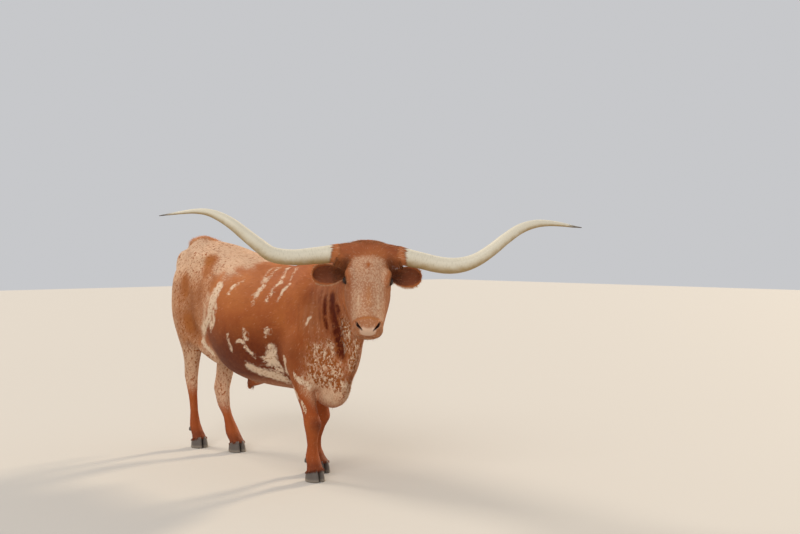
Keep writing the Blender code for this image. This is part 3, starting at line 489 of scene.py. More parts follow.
# %% [markdown]
# ## Finer skin where the face is fine
#
# Lids, nostrils and lips have edges of a millimetre or two. Only round the eyes and the nostrils are the
# triangles split, twice over, which costs far less than a fine grain all over.

# %% Splitting the triangles of the face
def split_near(obj, places, reach):
    mesh = bmesh.new()
    mesh.from_mesh(obj.data)
    mesh.verts.ensure_lookup_table()
    spots = np.array([v.co for v in mesh.verts])
    near = np.zeros(len(spots), bool)
    for place in places:
        near |= np.linalg.norm(spots - place, axis=1) < reach
    edges = [e for e in mesh.edges if near[e.verts[0].index] and near[e.verts[1].index]]
    bmesh.ops.subdivide_edges(mesh, edges=edges, cuts=1, use_grid_fill=True)
    bmesh.ops.triangulate(mesh, faces=[f for f in mesh.faces if len(f.verts) > 3])
    mesh.to_mesh(obj.data)
    mesh.free()


EYE_ZONES, NOSTRIL_ZONES = (0.048, 0.034), (0.034, 0.026)
eye_places = [eye_frame(left)[0] for left in (1, -1)]
nostril_places = [head_point(0.541, -0.042, left * 0.050) for left in (1, -1)]
for eye_zone, nostril_zone in list(zip(EYE_ZONES, NOSTRIL_ZONES))[:2]:
    split_near(skin, eye_places, eye_zone)
    split_near(skin, nostril_places, nostril_zone)
smooth_faces(skin)
print("skin with a finer face:", len(skin.data.polygons), "faces")


# %% [markdown]
# ## Lids, nostrils and lips
#
# The lids of a cow wrap over the ball like two thin leaves, with a dark edge and a fold above. So the skin
# near each eye is laid on a sphere a lid's thickness outside the ball, and inside the almond of the opening
# it drops behind the ball. Nostrils are comma shaped pits with a raised wing, and the lips meet in a groove.

# %% Distance to a drawn line
def path_distance(points, path):
    """Each point's distance from a line of straight steps, and how far along it the nearest place is."""
    path = np.asarray(path, float)
    best = np.full(len(points), 1e9)
    along = np.zeros(len(points))
    steps = len(path) - 1
    for k in range(steps):
        start, step = path[k], path[k + 1] - path[k]
        t = np.clip(((points - start) @ step) / max(step @ step, 1e-12), 0, 1)
        away = np.linalg.norm(points - start - t[:, None] * step, axis=1)
        nearer = away < best
        best[nearer] = away[nearer]
        along[nearer] = (k + t[nearer]) / steps
    return best, along


# %% Lids over the ball
LID_HALF_LENGTH = 0.0235
LID_UP, LID_LOW = 0.0118, 0.0100
LID_THICK = 0.0026
LID_DROP = 0.0056  # how far the skin inside the opening sinks


def lid_margin(points, left):
    """How far inside the eye's opening each point lies. It is negative on the lids."""
    centre, _, along, over = eye_frame(left)
    away = points - centre
    u, v = away @ along, away @ over
    t = np.clip(np.abs(u) / LID_HALF_LENGTH, 0, 1)
    upper = LID_UP * (1 - t ** 2.3)
    lower = -LID_LOW * (1 - t ** 2.0)
    return np.minimum(upper - v, v - lower) - np.clip(np.abs(u) - LID_HALF_LENGTH, 0, None)


points = points_of(skin)
for left in (1, -1):
    centre, look, along, over = eye_frame(left)
    away = points - centre
    far = np.linalg.norm(away, axis=1)
    u, v, w = away @ along, away @ over, away @ look
    near = (w > 0.002) & (far < 0.060)
    wrap = (1 - step_up(np.hypot(u / 0.036, v / 0.030), 0.62, 1.20)) * near
    margin = lid_margin(points, left)
    target = EYE_RADIUS + LID_THICK - LID_DROP * step_up(margin, 0.0, 0.0016)
    target = target + 0.0009 * np.exp(-((margin + 0.0022) / 0.0016) ** 2)
    fold = np.exp(-((margin + 0.0085) / 0.0016) ** 2) * (v > 0) * np.exp(-(u / 0.024) ** 4)
    fold = fold + 0.55 * np.exp(-((margin + 0.0078) / 0.0015) ** 2) * (v < 0) * np.exp(-(u / 0.020) ** 4)
    target = target - 0.0016 * fold
    new = far + (target - far) * wrap
    new_places = centre + away / np.maximum(far, 1e-6)[:, None] * new[:, None]
    points = np.where((wrap > 0)[:, None], new_places, points)
move_points(skin, points)


# %% Where the nostrils run
NOSTRIL = [(0.562, -0.051, 0.032, 0.0048), (0.553, -0.046, 0.042, 0.0066), (0.541, -0.040, 0.053, 0.0078),
           (0.528, -0.036, 0.061, 0.0066), (0.516, -0.038, 0.067, 0.0034)]
plain_tree = tree_of(skin)
nostril_rows = smooth_rows(NOSTRIL, 4)
nostril_paths, nostril_ways = {}, {}
for left in (1, -1):
    found = [plain_tree.find_nearest(Vector(head_point(d, o, left * w))) for d, o, w, _ in nostril_rows]
    nostril_paths[left] = np.array([f[0] for f in found])
    nostril_ways[left] = np.array([f[1] for f in found])


def nostril_distance(points, left, deep=0.0):
    """Distance from the nostril's middle line, or one deeper than it, as a share of its half width."""
    away, along = path_distance(points, nostril_paths[left] - nostril_ways[left] * deep)
    return away / np.interp(along, np.linspace(0, 1, len(nostril_rows)), nostril_rows[:, 3])


def press(obj, amount):
    """Moves each point of the skin along its normal by an amount in metres."""
    move_points(obj, points_of(obj) + normals_of(obj) * amount[:, None])


# %% Nostrils
NOSTRIL_WING = 0.0026  # how far the rim stands up
NOSTRIL_PRESS = 0.0048  # how deep each of the three presses goes

points = points_of(skin)
amount = np.zeros(len(points))
for left in (1, -1):
    amount += NOSTRIL_WING * np.exp(-((nostril_distance(points, left) - 1.70) / 0.50) ** 2)
press(skin, amount)
for inner_edge in (0.62, 0.50, 0.38):
    amount = np.zeros(len(points))
    for left in (1, -1):
        amount -= NOSTRIL_PRESS * (1 - step_up(nostril_distance(points, left), inner_edge, inner_edge + 0.50))
    press(skin, amount)
    weigh(skin, "pit", step_up(-amount, 0.0003, 0.0015))
    apply_modifier(skin, "SMOOTH", factor=0.5, iterations=6, vertex_group="pit")

# %% Lips and the lines of the face
MOUTH_LINE = [(0.400, -0.130), (0.450, -0.119), (0.500, -0.111), (0.550, -0.110), (0.620, -0.113)]
MUZZLE_CLEFT = [(0.566, -0.050, 0), (0.575, -0.080, 0), (0.575, -0.104, 0)]
FACE_LINES = [
    (0.01, -0.0016, [(0.3, 0.0, 0.052), (0.38, -0.004, 0.045), (0.46, -0.01, 0.04), (0.51, -0.02, 0.044)]),
    (0.012, 0.003, [(0.285, -0.085, 0.104), (0.33, -0.1, 0.094), (0.39, -0.108, 0.08),
                    (0.44, -0.11, 0.07)]),
    (0.0045, -0.0022, [(0.262, -0.05, 0.118), (0.285, -0.072, 0.112), (0.318, -0.092, 0.1)]),
    (0.008, 0.0022, [(0.17, -0.05, 0.112), (0.2, -0.032, 0.114), (0.24, -0.022, 0.11),
                     (0.275, -0.036, 0.104)]),
    (0.0045, -0.0014, [(0.16, -0.03, 0.104), (0.2, -0.012, 0.1), (0.245, -0.006, 0.095)]),
    (0.012, -0.002, [(0.18, -0.19, 0.09), (0.25, -0.215, 0.078), (0.33, -0.2, 0.064), (0.4, -0.17, 0.052)]),
    (0.0035, -0.0014, [(0.5, -0.07, 0.078), (0.525, -0.08, 0.072), (0.545, -0.088, 0.058)]),
    (0.0035, -0.0012, [(0.48, -0.064, 0.084), (0.488, -0.085, 0.084), (0.494, -0.103, 0.078)]),
]
down, out, _ = head_places(points)
off_lips = out - np.interp(down, *np.array(MOUTH_LINE).T)
on_lips = step_up(down, 0.405, 0.440) * (points[:, 2] < 1.25)
amount = -0.0052 * np.exp(-(off_lips / 0.0020) ** 2) * on_lips
amount += 0.0016 * np.exp(-((np.abs(off_lips) - 0.0075) / 0.0045) ** 2) * on_lips
for width, depth, path in FACE_LINES:
    for left in (1, -1):
        line = [head_point(d, o, left * w) for d, o, w in smooth_rows(path, 4)]
        away, along = path_distance(points, line)
        amount += depth * np.exp(-(away / width) ** 2) * np.sin(np.clip(along, 0.04, 0.96) * math.pi) ** 0.5
cleft, _ = path_distance(points, [head_point(*place) for place in MUZZLE_CLEFT])
amount -= 0.0016 * np.exp(-(cleft / 0.0022) ** 2)
press(skin, amount)
print("face carved: eyes, nostrils, lips and", len(FACE_LINES) * 2, "lines")


# %% [markdown]
# ## Folds of the hide
#
# The head is turned to the animal's right, so the hide of that side of the neck gathers in upright folds.
# There are hollows behind the shoulder and in the flank, and the skin is never quite even. Each is drawn as
# a line on the animal with a width and a depth, and pressed in or raised along the skin's own normal. Where
# both sides have the same one, it is drawn on the right side and has a depth for each.

# %% Folds and hollows
FOLDS = [
    (0.016, -0.0075, [(-0.178, -1.541, 1.075), (-0.163, -1.548, 0.987), (-0.134, -1.537, 0.908),
                      (-0.083, -1.508, 0.814)]),
    (0.018, -0.005, [(-0.175, -1.48, 1.17), (-0.196, -1.47, 1.06), (-0.19, -1.462, 0.95),
                     (-0.16, -1.455, 0.87)]),
    (0.018, -0.0036, [(-0.168, -1.4, 1.19), (-0.205, -1.395, 1.08), (-0.215, -1.388, 0.96)]),
    (0.013, -0.0055, [(-0.16, -1.61, 1.12), (-0.15, -1.62, 1.01), (-0.125, -1.612, 0.915),
                      (-0.092, -1.585, 0.83)]),
    (0.016, 0.0045, [(-0.172, -1.512, 1.12), (-0.18, -1.508, 1.01), (-0.165, -1.5, 0.92)]),
    (0.014, 0.0045, [(-0.168, -1.578, 1.09), (-0.158, -1.584, 0.995), (-0.135, -1.574, 0.91)]),
    (0.03, (-0.006, -0.0055), [(-0.238, -1.101, 1.056), (-0.245, -1.146, 0.921), (-0.249, -1.176, 0.786)]),
    (0.022, (0.0045, 0.004), [(-0.29, -0.44, 1.08), (-0.285, -0.33, 0.93), (-0.225, -0.19, 0.83),
                              (-0.175, -0.13, 0.74)]),
    (0.045, (-0.006, -0.006), [(-0.255, -0.33, 1.2), (-0.28, -0.34, 1.12), (-0.282, -0.3, 1.02)]),
    (0.02, -0.005, [(-0.1, 0.09, 0.9), (-0.12, 0.13, 0.78), (-0.105, 0.15, 0.66)]),
    (0.02, -0.005, [(0.1, 0.09, 0.9), (0.12, 0.1, 0.78), (0.105, 0.08, 0.66)]),
    (0.014, -0.0035, [(-0.205, -1.24, 0.7), (-0.178, -1.26, 0.6), (-0.15, -1.265, 0.5)]),
    (0.015, -0.004, [(0.02, -1.64, 0.9), (0.015, -1.6, 0.8), (0.005, -1.54, 0.7)]),
    (0.016, -0.0035, [(0.12, -1.56, 1.02), (0.11, -1.55, 0.92), (0.085, -1.52, 0.82)]),
]
points = points_of(skin)
skin_tree = tree_of(skin)


def settle(places):
    """The nearest places on the skin, and the way it faces there."""
    found = [skin_tree.find_nearest(Vector(p))[:2] for p in places]
    return np.array([f[0] for f in found]), np.array([f[1] for f in found])


amount = np.zeros(len(points))
for width, depths, path in FOLDS:
    for side, depth in zip((1, -1), np.atleast_1d(depths)):
        line, _ = settle(smooth_rows(np.array(path) * (side, 1, 1) + SHIFT, 5))
        away, along = path_distance(points, line)
        amount += depth * np.exp(-(away / width) ** 2) * np.sin(np.clip(along, 0.02, 0.98) * math.pi) ** 0.6

# %% An uneven hide
WAVES = 14
waves = RNG.normal(0, 1, (WAVES, 3)) * 5
starts = RNG.uniform(0, math.tau, WAVES)
uneven = sum(np.sin(points @ wave + start) for wave, start in zip(waves, starts)) / WAVES
amount += 0.0022 * uneven * (1 - head_share(points)) * step_up(points[:, 2], 0.5, 0.8)
press(skin, amount)
skin_tree = tree_of(skin)
print("folds pressed:", len(FOLDS), "skin triangles:", len(skin.data.polygons))


# %% [markdown]
# ## The horns
#
# A horn is a sheath of dull ivory horn over bone: oval and a little rough by the head, with faint growth
# rings, then smooth to a dark tip. Here it is a bevelled curve whose radius follows the real taper, made a
# mesh, and its rings and long striations are pressed into it. Bump alone would leave its outline too perfect.

# %% Horns
HORN_RIGHT = [(0.193, -0.001, 0.006, 0.0500), (0.300, -0.015, 0.013, 0.0462), (0.410, -0.027, 0.026, 0.0435),
              (0.521, -0.015, 0.038, 0.0422), (0.598, 0.035, 0.046, 0.0385), (0.668, 0.087, 0.041, 0.0350),
              (0.739, 0.140, 0.037, 0.0312), (0.810, 0.179, 0.021, 0.0262), (0.882, 0.202, 0.004, 0.0195),
              (0.954, 0.205, -0.016, 0.0138), (1.026, 0.196, -0.038, 0.0094), (1.098, 0.184, -0.058, 0.0056),
              (1.151, 0.175, -0.072, 0.0020)]
HORN_LEFT = [(0.193, -0.002, 0.006, 0.0485), (0.297, -0.022, 0.012, 0.0465), (0.375, -0.038, 0.021, 0.0460),
             (0.452, -0.044, 0.030, 0.0448), (0.529, -0.033, 0.038, 0.0415), (0.604, -0.001, 0.044, 0.0372),
             (0.680, 0.053, 0.042, 0.0342), (0.757, 0.118, 0.034, 0.0314), (0.837, 0.173, 0.015, 0.0285),
             (0.918, 0.203, -0.005, 0.0238), (1.002, 0.212, -0.031, 0.0176), (1.087, 0.208, -0.055, 0.0118),
             (1.156, 0.200, -0.073, 0.0068), (1.207, 0.196, -0.085, 0.0020)]
HORN_ROOT = head_point(0.052, -0.072, 0.0)
HORN_SUNK = 0.035


def curve_tube(name, line, radii, resolution=10):
    """A round tube along a line, as a bevelled curve made a mesh. Its points come ring by ring."""
    data = bpy.data.curves.new(name, "CURVE")
    data.dimensions = "3D"
    data.bevel_depth = 1.0
    data.bevel_resolution = resolution
    data.use_fill_caps = True
    spline = data.splines.new("POLY")
    spline.points.add(len(line) - 1)
    for knot, place, radius in zip(spline.points, line, radii):
        knot.co = (*place, 1)
        knot.radius = radius
    made = new_object(name, data)
    select_only(made)
    bpy.ops.object.convert(target="MESH")
    smooth_faces(made)
    return made


def horn_line(rows, left):
    data = smooth_rows(rows, 16)
    line = HORN_ROOT + LEFT * (left * data[:, :1]) + UP_HEAD * data[:, 1:2] + AHEAD * data[:, 2:3]
    first = line[0] - unit(line[1] - line[0]) * HORN_SUNK
    line = np.vstack([first, line])
    return line, np.concatenate([[data[0, 3] * 1.02], data[:, 3]])


def horn(name, rows, left):
    line, radii = horn_line(rows, left)
    made = curve_tube(name, line, radii)
    points = points_of(made)
    near = np.array([np.argmin(np.linalg.norm(line - p, axis=1)) for p in points])
    reach = np.concatenate([[0], np.cumsum(np.linalg.norm(np.diff(line, axis=0), axis=1))])[near]
    share = reach / reach.max()
    away = points - line[near]
    ringed = np.clip(1 - share / 0.34, 0, 1)
    wave = 0.5 * np.sin(reach * 330 + 1.6 * np.sin(reach * 61)) + 0.35 * np.sin(reach * 190 + 1.2)
    turn = np.arctan2(away @ UP_HEAD, away @ AHEAD)
    ridge = 0.4 * np.sin(turn * 9 + reach * 5) + 0.3 * np.sin(turn * 15 - reach * 8)
    push = ringed * (0.0009 * wave + 0.0005 * ridge) - 0.0004
    move_points(made, points + unit(away) * push[:, None] * (radii[near, None] > 0.004))
    # The third value grows as the horn faces down; the material paints the underside's shade from it.
    store(made, "grown", np.stack([share, reach, 0.5 - 0.5 * unit(away)[:, 2]], axis=1))
    return made


horns = {1: horn("horn_sheath_left", HORN_LEFT, 1), -1: horn("horn_sheath_right", HORN_RIGHT, -1)}
print("horn triangles:", [len(h.data.polygons) * 2 for h in horns.values()])


# %% [markdown]
# ## The eyes
#
# Each eye is a wet, nearly black ball behind dark lids. A sphere primitive with its pole turned outwards
# gives a round ball whose front can carry the iris and the wide, lying pupil in its material.

# %% Eyes
def eyeball(left):
    centre, look, along, _ = eye_frame(left)
    deselect()
    bpy.ops.mesh.primitive_uv_sphere_add(segments=40, ring_count=24, radius=EYE_RADIUS)
    made = bpy.context.object
    made.name = "eyeball_left" if left > 0 else "eyeball_right"
    turned = np.stack([along, np.cross(look, along), look])
    points = points_of(made)
    gaze = points / EYE_RADIUS
    points[:, 2] *= np.where(points[:, 2] > EYE_RADIUS * 0.75, 1.03, 1.0)
    move_points(made, points @ turned + centre)
    store(made, "gaze", gaze)
    smooth_faces(made)
    return made


eyes = {left: eyeball(left) for left in (1, -1)}


# %% [markdown]
# ## The hooves
#
# A cow stands on two claws a foot, each a curved wall of horn that slopes forward and leans on its
# neighbour, with two small dewclaws behind the pastern. A cylinder is cut into levels by bisecting it, and
# its points are carried onto the claw's plan at each height, with growth rings that catch the light.

# %% Hooves
FEET = {"fore_right": (-0.090, -1.255), "fore_left": (0.082, -1.080),
        "hind_right": (-0.075, 0.135), "hind_left": (0.042, -0.172)}
FETLOCK = {"fore": (0.022, 0.128, 0.045), "hind": (0.050, 0.130, 0.044)}  # behind, height, half depth
CLAW_LENGTH = 0.118
CLAW_WIDTH = 0.056
CLAW_HEIGHT = 0.078
HEEL_HEIGHT = 0.044
CLAW_SLOPE = (CLAW_HEIGHT - HEEL_HEIGHT) / CLAW_LENGTH
CLEFT = 0.007


def consistent_normals(obj):
    select_only(obj)
    bpy.ops.object.mode_set(mode="EDIT")
    bpy.ops.mesh.select_all(action="SELECT")
    bpy.ops.mesh.remove_doubles(threshold=MERGE)
    bpy.ops.mesh.normals_make_consistent(inside=False)
    bpy.ops.object.mode_set(mode="OBJECT")


def claw(name, foot, out):
    """One claw: a drum cut into levels, carried onto the claw's plan, with its growth rings pressed in."""
    deselect()
    bpy.ops.mesh.primitive_cylinder_add(vertices=44, radius=1.0, depth=1.0, location=(0, 0, 0.5))
    made = bpy.context.object
    made.name = name
    bpy.ops.object.mode_set(mode="EDIT")
    for level in np.concatenate([[0.02, 0.05], np.linspace(0.10, 0.98, 26)]):
        bpy.ops.mesh.select_all(action="SELECT")
        bpy.ops.mesh.bisect(plane_co=(0, 0, level), plane_no=(0, 0, 1))
    bpy.ops.object.mode_set(mode="OBJECT")
    points = points_of(made) + np.array(made.location)
    made.location = (0, 0, 0)
    level = points[:, 2]
    turn = np.arctan2(points[:, 0], -points[:, 1])
    ahead, wide = np.cos(turn), np.sin(turn)
    size = np.interp(level, [0.0, 0.02, 0.05, 0.55, 0.86, 1.0], [0.925, 0.965, 1.0, 0.930, 0.865, 0.790])
    back = np.interp(level, [0.05, 0.55, 1.0], [0.0, 0.004, 0.009])
    ring = 0.00018 * np.sin(level * 62 + 0.9 * np.sin(turn * 2)) * np.clip(level * 3, 0, 1)
    size = size + ring / 0.04
    reach = CLAW_LENGTH * np.where(ahead > 0, 0.53, 0.44) * size
    narrow = 1 - 0.34 * np.clip(ahead, 0, 1) ** 2 - 0.12 * np.clip(-ahead, 0, 1) ** 2
    x = CLEFT / 2 + np.clip(0.44 + 0.56 * wide, 0, None) * CLAW_WIDTH * narrow * size
    y = -ahead * reach + back
    top = CLAW_HEIGHT - CLAW_SLOPE * (y + CLAW_LENGTH / 2) + 0.003
    placed = np.stack([foot[0] + out * x, foot[1] + y, level * top], axis=1) + SHIFT
    move_points(made, placed)
    consistent_normals(made)
    smooth_faces(made)
    select_only(made)
    bpy.ops.object.shade_smooth_by_angle(angle=math.radians(50))
    return made


def dewclaw(name, foot, out, fetlock):
    y = foot[1] + fetlock[0] + fetlock[2] * 0.72
    start = body_point(foot[0] + out * 0.022, y - 0.014, fetlock[1] + 0.007)
    end = body_point(foot[0] + out * 0.026, y + 0.006, fetlock[1] - 0.024)
    t = np.linspace(0, 1, 15)[:, None]
    line = start + (end - start) * t + np.array([0, 0.003, 0]) * np.sin(t * math.pi)
    radii = 0.0140 * np.interp(t[:, 0], [0, 0.45, 0.8, 0.94, 1], [0.86, 1.0, 0.76, 0.48, 0.12])
    radii = radii * (1 + 0.035 * np.sin(t[:, 0] * 34))
    return curve_tube(name, line, radii, 4)


hooves = {}
for name, foot in FEET.items():
    parts = []
    for out in (1, -1):
        parts.append(claw("claw_part", foot, out))
        parts.append(dewclaw("dewclaw_part", foot, out, FETLOCK[name.split("_")[0]]))
    hooves[name] = join_objects(parts, "hoof_" + name)
print("hoof triangles:", {k: len(h.data.polygons) for k, h in hooves.items()})


# %% [markdown]
# ## Tufts of hair
#
# All of the hair, from the lashes to the switch, is one shape: a thin three-sided blade that bends and
# narrows to a point. Hair curves or particles look the same in a render but are lost in an export, so the
# blades are real mesh, built thousands at a time from arrays. A blade has ten to forty faces.

# %% A maker of blades
def blades(name, paths, widths, facing, flat=0.35, taper=0.75, soft=0.0):
    """Joined tapering blades. paths is (blades, rows, 3), and facing is the way that each blade's face looks.
    soft turns the blades' shading towards that of the skin below, as short hair takes it."""
    count, rows = paths.shape[:2]
    along = unit(np.gradient(paths, axis=1))
    across = unit(np.cross(along, np.repeat(facing[:, None, :], rows, axis=1)))
    out = np.cross(across, along)
    t = np.linspace(0, 1, rows)
    size = ((1 - t) ** taper)[None, :, None] * widths[:, None, None] * 0.5
    size[:, 0] *= 0.72
    ring = [across * size, out * size * flat, -across * size]
    body = np.stack([paths + r for r in ring], axis=2)[:, :-1].reshape(count, -1, 3)
    points = np.concatenate([body, paths[:, -1:]], axis=1)
    each = points.shape[1]
    local = [(0, 1, 2)]
    for a in range(rows - 2):
        for i in range(3):
            j = (i + 1) % 3
            low, high = a * 3, a * 3 + 3
            local.append((low + i, high + j, low + j))
            local.append((low + i, high + i, high + j))
    last = (rows - 2) * 3
    for i in range(3):
        local.append((last + i, each - 1, last + (i + 1) % 3))
    local = np.array(local)
    faces = (local[None] + (np.arange(count) * each)[:, None, None]).reshape(-1, 3)
    data = bpy.data.meshes.new(name)
    data.vertices.add(count * each)
    data.vertices.foreach_set("co", points.reshape(-1).astype(np.float32))
    data.loops.add(len(faces) * 3)
    data.loops.foreach_set("vertex_index", faces.reshape(-1).astype(np.int32))
    data.polygons.add(len(faces))
    data.polygons.foreach_set("loop_start", np.arange(0, len(faces) * 3, 3, dtype=np.int32))
    data.polygons.foreach_set("use_smooth", np.ones(len(faces), bool))
    data.update(calc_edges=True)
    data.validate()
    made = new_object(name, data)
    if soft:
        turned = normals_of(made) * (1 - soft) + np.repeat(facing, each, axis=0) * soft
        data.normals_split_custom_set_from_vertices(unit(turned).astype(np.float32))
    return made


# %% [markdown]
# ## The switch
#
# The tail ends in a brush of long hair that hangs nearly straight. Some six hundred long blades root on a
# core and reach down at different heights, so that the brush is full in the middle and ragged at its end.

# %% The switch's locks
SWITCH_CORE = [(0.0255, 0.4245, 0.830, 0.0150), (0.0270, 0.4230, 0.720, 0.0190),
               (0.0290, 0.4210, 0.600, 0.0200), (0.0310, 0.4190, 0.480, 0.0150),
               (0.0320, 0.4180, 0.380, 0.0060)]
SWITCH_LOCKS = 620


def switch_locks():
    rows = smooth_rows(SWITCH_CORE, 8)
    heights, radii = rows[::-1, 2], rows[::-1, 3]
    turn = RNG.uniform(0, math.tau, SWITCH_LOCKS)
    level = 0.825 - 0.36 * RNG.uniform(0, 1, SWITCH_LOCKS) ** 1.1
    length = RNG.uniform(0.13, 0.25, SWITCH_LOCKS)
    length = np.minimum(length, level - RNG.uniform(0.334, 0.385, SWITCH_LOCKS))
    spread = np.stack([np.cos(turn), np.sin(turn), np.zeros_like(turn)], axis=1)
    wander = RNG.uniform(-1, 1, (SWITCH_LOCKS, 2))
    paths = []
    for t in np.linspace(0, 1, 8):
        z = level - length * t
        x, y = (np.interp(np.clip(z, 0.39, None), heights, rows[::-1, axis]) for axis in (0, 1))
        wide = np.interp(z, heights, radii, left=0.005)
        proud = np.interp(t, [0, 0.2, 0.6, 1.0], [-0.004, 0.002, 0.007, 0.003])
        place = np.stack([x, y, z], axis=1) + spread * (wide + proud)[:, None]
        place[:, :2] += wander * 0.010 * t ** 1.5
        place[:, 0] += 0.0025 * np.sin(t * 6 + turn * 3) * t
        paths.append(place + SHIFT)
    paths = np.stack(paths, axis=1)
    return blades("switch_locks", paths, RNG.uniform(0.0045, 0.0090, SWITCH_LOCKS), spread, taper=0.6)


rows = smooth_rows(SWITCH_CORE, 6)
switch = join_objects([switch_locks(), curve_tube("switch_core", rows[:, :3] + SHIFT, rows[:, 3] * 0.85, 4)],
                      "tail_switch_hair")
print("switch triangles:", len(switch.data.polygons))


# %% [markdown]
# ## The markings
#
# This is a red steer with white streaks and roan: white hairs mixed into the red. Each mark is drawn as a
# line on the hide with a half width, and broad areas come from simple steps of place. The same numbers are
# stored on the skin and on every tuft, so the two agree, and the material breaks their edges up with noise.

# %% White streaks and patches of the near side
STREAKS = [
    (0.04, [(-0.283, -0.476, 1.151), (-0.307, -0.415, 1.046), (-0.302, -0.385, 0.954)]),
    (0.03, [(-0.302, -0.385, 0.954), (-0.262, -0.279, 0.9), (-0.222, -0.173, 0.848)]),
    (0.022, [(-0.222, -0.173, 0.848), (-0.178, -0.093, 0.762), (-0.166, -0.205, 0.692)]),
    (0.022, [(-0.315, -0.486, 1.034), (-0.316, -0.466, 0.937), (-0.291, -0.381, 0.879)]),
    (0.012, [(-0.231, -0.695, 1.196), (-0.266, -0.628, 1.162), (-0.29, -0.606, 1.118)]),
    (0.012, [(-0.072, -0.859, 1.283), (-0.187, -0.902, 1.203), (-0.232, -0.88, 1.147),
             (-0.273, -0.865, 1.062)]),
    (0.009, [(-0.089, -0.82, 1.279), (-0.167, -0.846, 1.23), (-0.205, -0.864, 1.188)]),
    (0.012, [(-0.075, -0.965, 1.281), (-0.178, -1.038, 1.206), (-0.216, -0.995, 1.15),
             (-0.248, -0.974, 1.08)]),
    (0.011, [(-0.186, -1.148, 1.195), (-0.21, -1.097, 1.146), (-0.233, -1.081, 1.09)]),
    (0.008, [(-0.112, -1.102, 1.283), (-0.178, -1.136, 1.208)]),
    (0.009, [(-0.201, -1.365, 1.005), (-0.225, -1.352, 0.959)]),
    (0.013, [(-0.269, -1.011, 0.921), (-0.27, -0.999, 0.872)]),
    (0.011, [(-0.307, -0.813, 0.897), (-0.3, -0.815, 0.833)]),
    (0.014, [(-0.318, -0.637, 0.851), (-0.306, -0.637, 0.8), (-0.294, -0.651, 0.756)]),
    (0.01, [(-0.309, -0.724, 0.82), (-0.306, -0.766, 0.83), (-0.299, -0.801, 0.814)]),
    (0.012, [(-0.292, -0.803, 0.789), (-0.273, -0.851, 0.748), (-0.262, -0.872, 0.728)]),
    (0.036, [(-0.252, -1.034, 0.793), (-0.24, -1.028, 0.739), (-0.24, -0.966, 0.713),
             (-0.225, -1.031, 0.703), (-0.198, -1.041, 0.653)]),
    (0.038, [(-0.236, -0.766, 0.653), (-0.202, -0.871, 0.624), (-0.18, -0.965, 0.609),
             (-0.154, -1.039, 0.593)]),
    (0.016, [(-0.239, -1.149, 0.742), (-0.183, -1.105, 0.643), (-0.188, -1.16, 0.573),
             (-0.182, -1.199, 0.514)]),
    (0.014, [(-0.216, -1.223, 0.643), (-0.2, -1.248, 0.617), (-0.168, -1.273, 0.596),
             (-0.145, -1.278, 0.581)]),
    (0.012, [(-0.168, -1.235, 0.48), (-0.16, -1.25, 0.43)]),
]
CHEST_PATCH = [
    (0.055, [(-0.17, -1.385, 0.81), (-0.15, -1.42, 0.79), (-0.13, -1.44, 0.76)]),
    (0.07, [(-0.15, -1.35, 0.74), (-0.11, -1.44, 0.72), (-0.085, -1.45, 0.69)]),
    (0.06, [(-0.13, -1.32, 0.66), (-0.085, -1.44, 0.64), (-0.06, -1.455, 0.62)]),
    (0.03, [(-0.132, -1.452, 0.86), (-0.12, -1.46, 0.82)]),
    (0.058, [(-0.135, -1.33, 0.615), (-0.1, -1.42, 0.6), (-0.06, -1.47, 0.59)]),
]
DEWLAP_SPECKS = [
    (0.045, [(-0.15, -1.64, 0.98), (-0.111, -1.597, 0.899), (-0.09, -1.56, 0.82)]),
    (0.04, [(-0.09, -1.659, 0.86), (-0.07, -1.61, 0.79), (-0.05, -1.56, 0.7)]),
]
# Painted shade: dark lines along the upright folds of the neck's right side, where shade falls in the
# creases.
NECK_CREASE_SHADE = [
    (0.026, [(-0.172, -1.545, 1.12), (-0.163, -1.548, 0.987), (-0.134, -1.537, 0.908),
             (-0.083, -1.508, 0.79)]),
    (0.02, [(-0.145, -1.53, 0.96), (-0.115, -1.52, 0.87), (-0.085, -1.5, 0.78)]),
    (0.011, [(-0.195, -1.463, 1.12), (-0.2, -1.463, 1.03), (-0.185, -1.462, 0.93)]),
    (0.01, [(-0.15, -1.6, 1.09), (-0.14, -1.605, 1.01), (-0.12, -1.596, 0.93)]),
]
DARK_MARKS = [
    (0.028, [(-0.11, -1.3, 0.35), (-0.085, -1.305, 0.335)]),
    (0.024, [(-0.185, 0.085, 0.742), (-0.15, 0.11, 0.735)]),
    (0.036, [(-0.03, -1.495, 0.62), (-0.01, -1.5, 0.56), (-0.01, -1.47, 0.52)]),
]
PALE_MARKS = [
    (0.034, [(-0.283, -0.376, 1.13), (-0.29, -0.3, 1.02), (-0.27, -0.235, 0.91), (-0.235, -0.13, 0.8)]),
    (0.024, [(-0.18, 0.06, 1.35), (-0.215, -0.08, 1.34), (-0.21, -0.2, 1.345)]),
]
BROWN_MARKS = [
    (0.06, [(-0.245, -0.06, 1.08), (-0.245, -0.03, 0.96), (-0.22, -0.04, 0.85)]),
    (0.04, [(-0.27, -0.2, 1.15), (-0.27, -0.16, 1.05)]),
]
CREAM_MARKS = [
    (0.06, [(-0.13, -1.31, 0.59), (-0.095, -1.39, 0.56), (-0.065, -1.44, 0.54)]),
    (0.055, [(-0.11, -1.33, 0.52), (-0.07, -1.39, 0.5)]),
]
ORANGE_MARKS = [
    (0.06, [(-0.202, -0.24, 1.304), (-0.215, -0.235, 1.25)]),
    (0.055, [(-0.23, 0.049, 1.175), (-0.225, 0.04, 1.12)]),
    (0.036, [(-0.263, -0.385, 1.193), (-0.282, -0.374, 1.141)]),
    (0.05, [(-0.206, 0.016, 0.867), (-0.2, 0.03, 0.92)]),
]


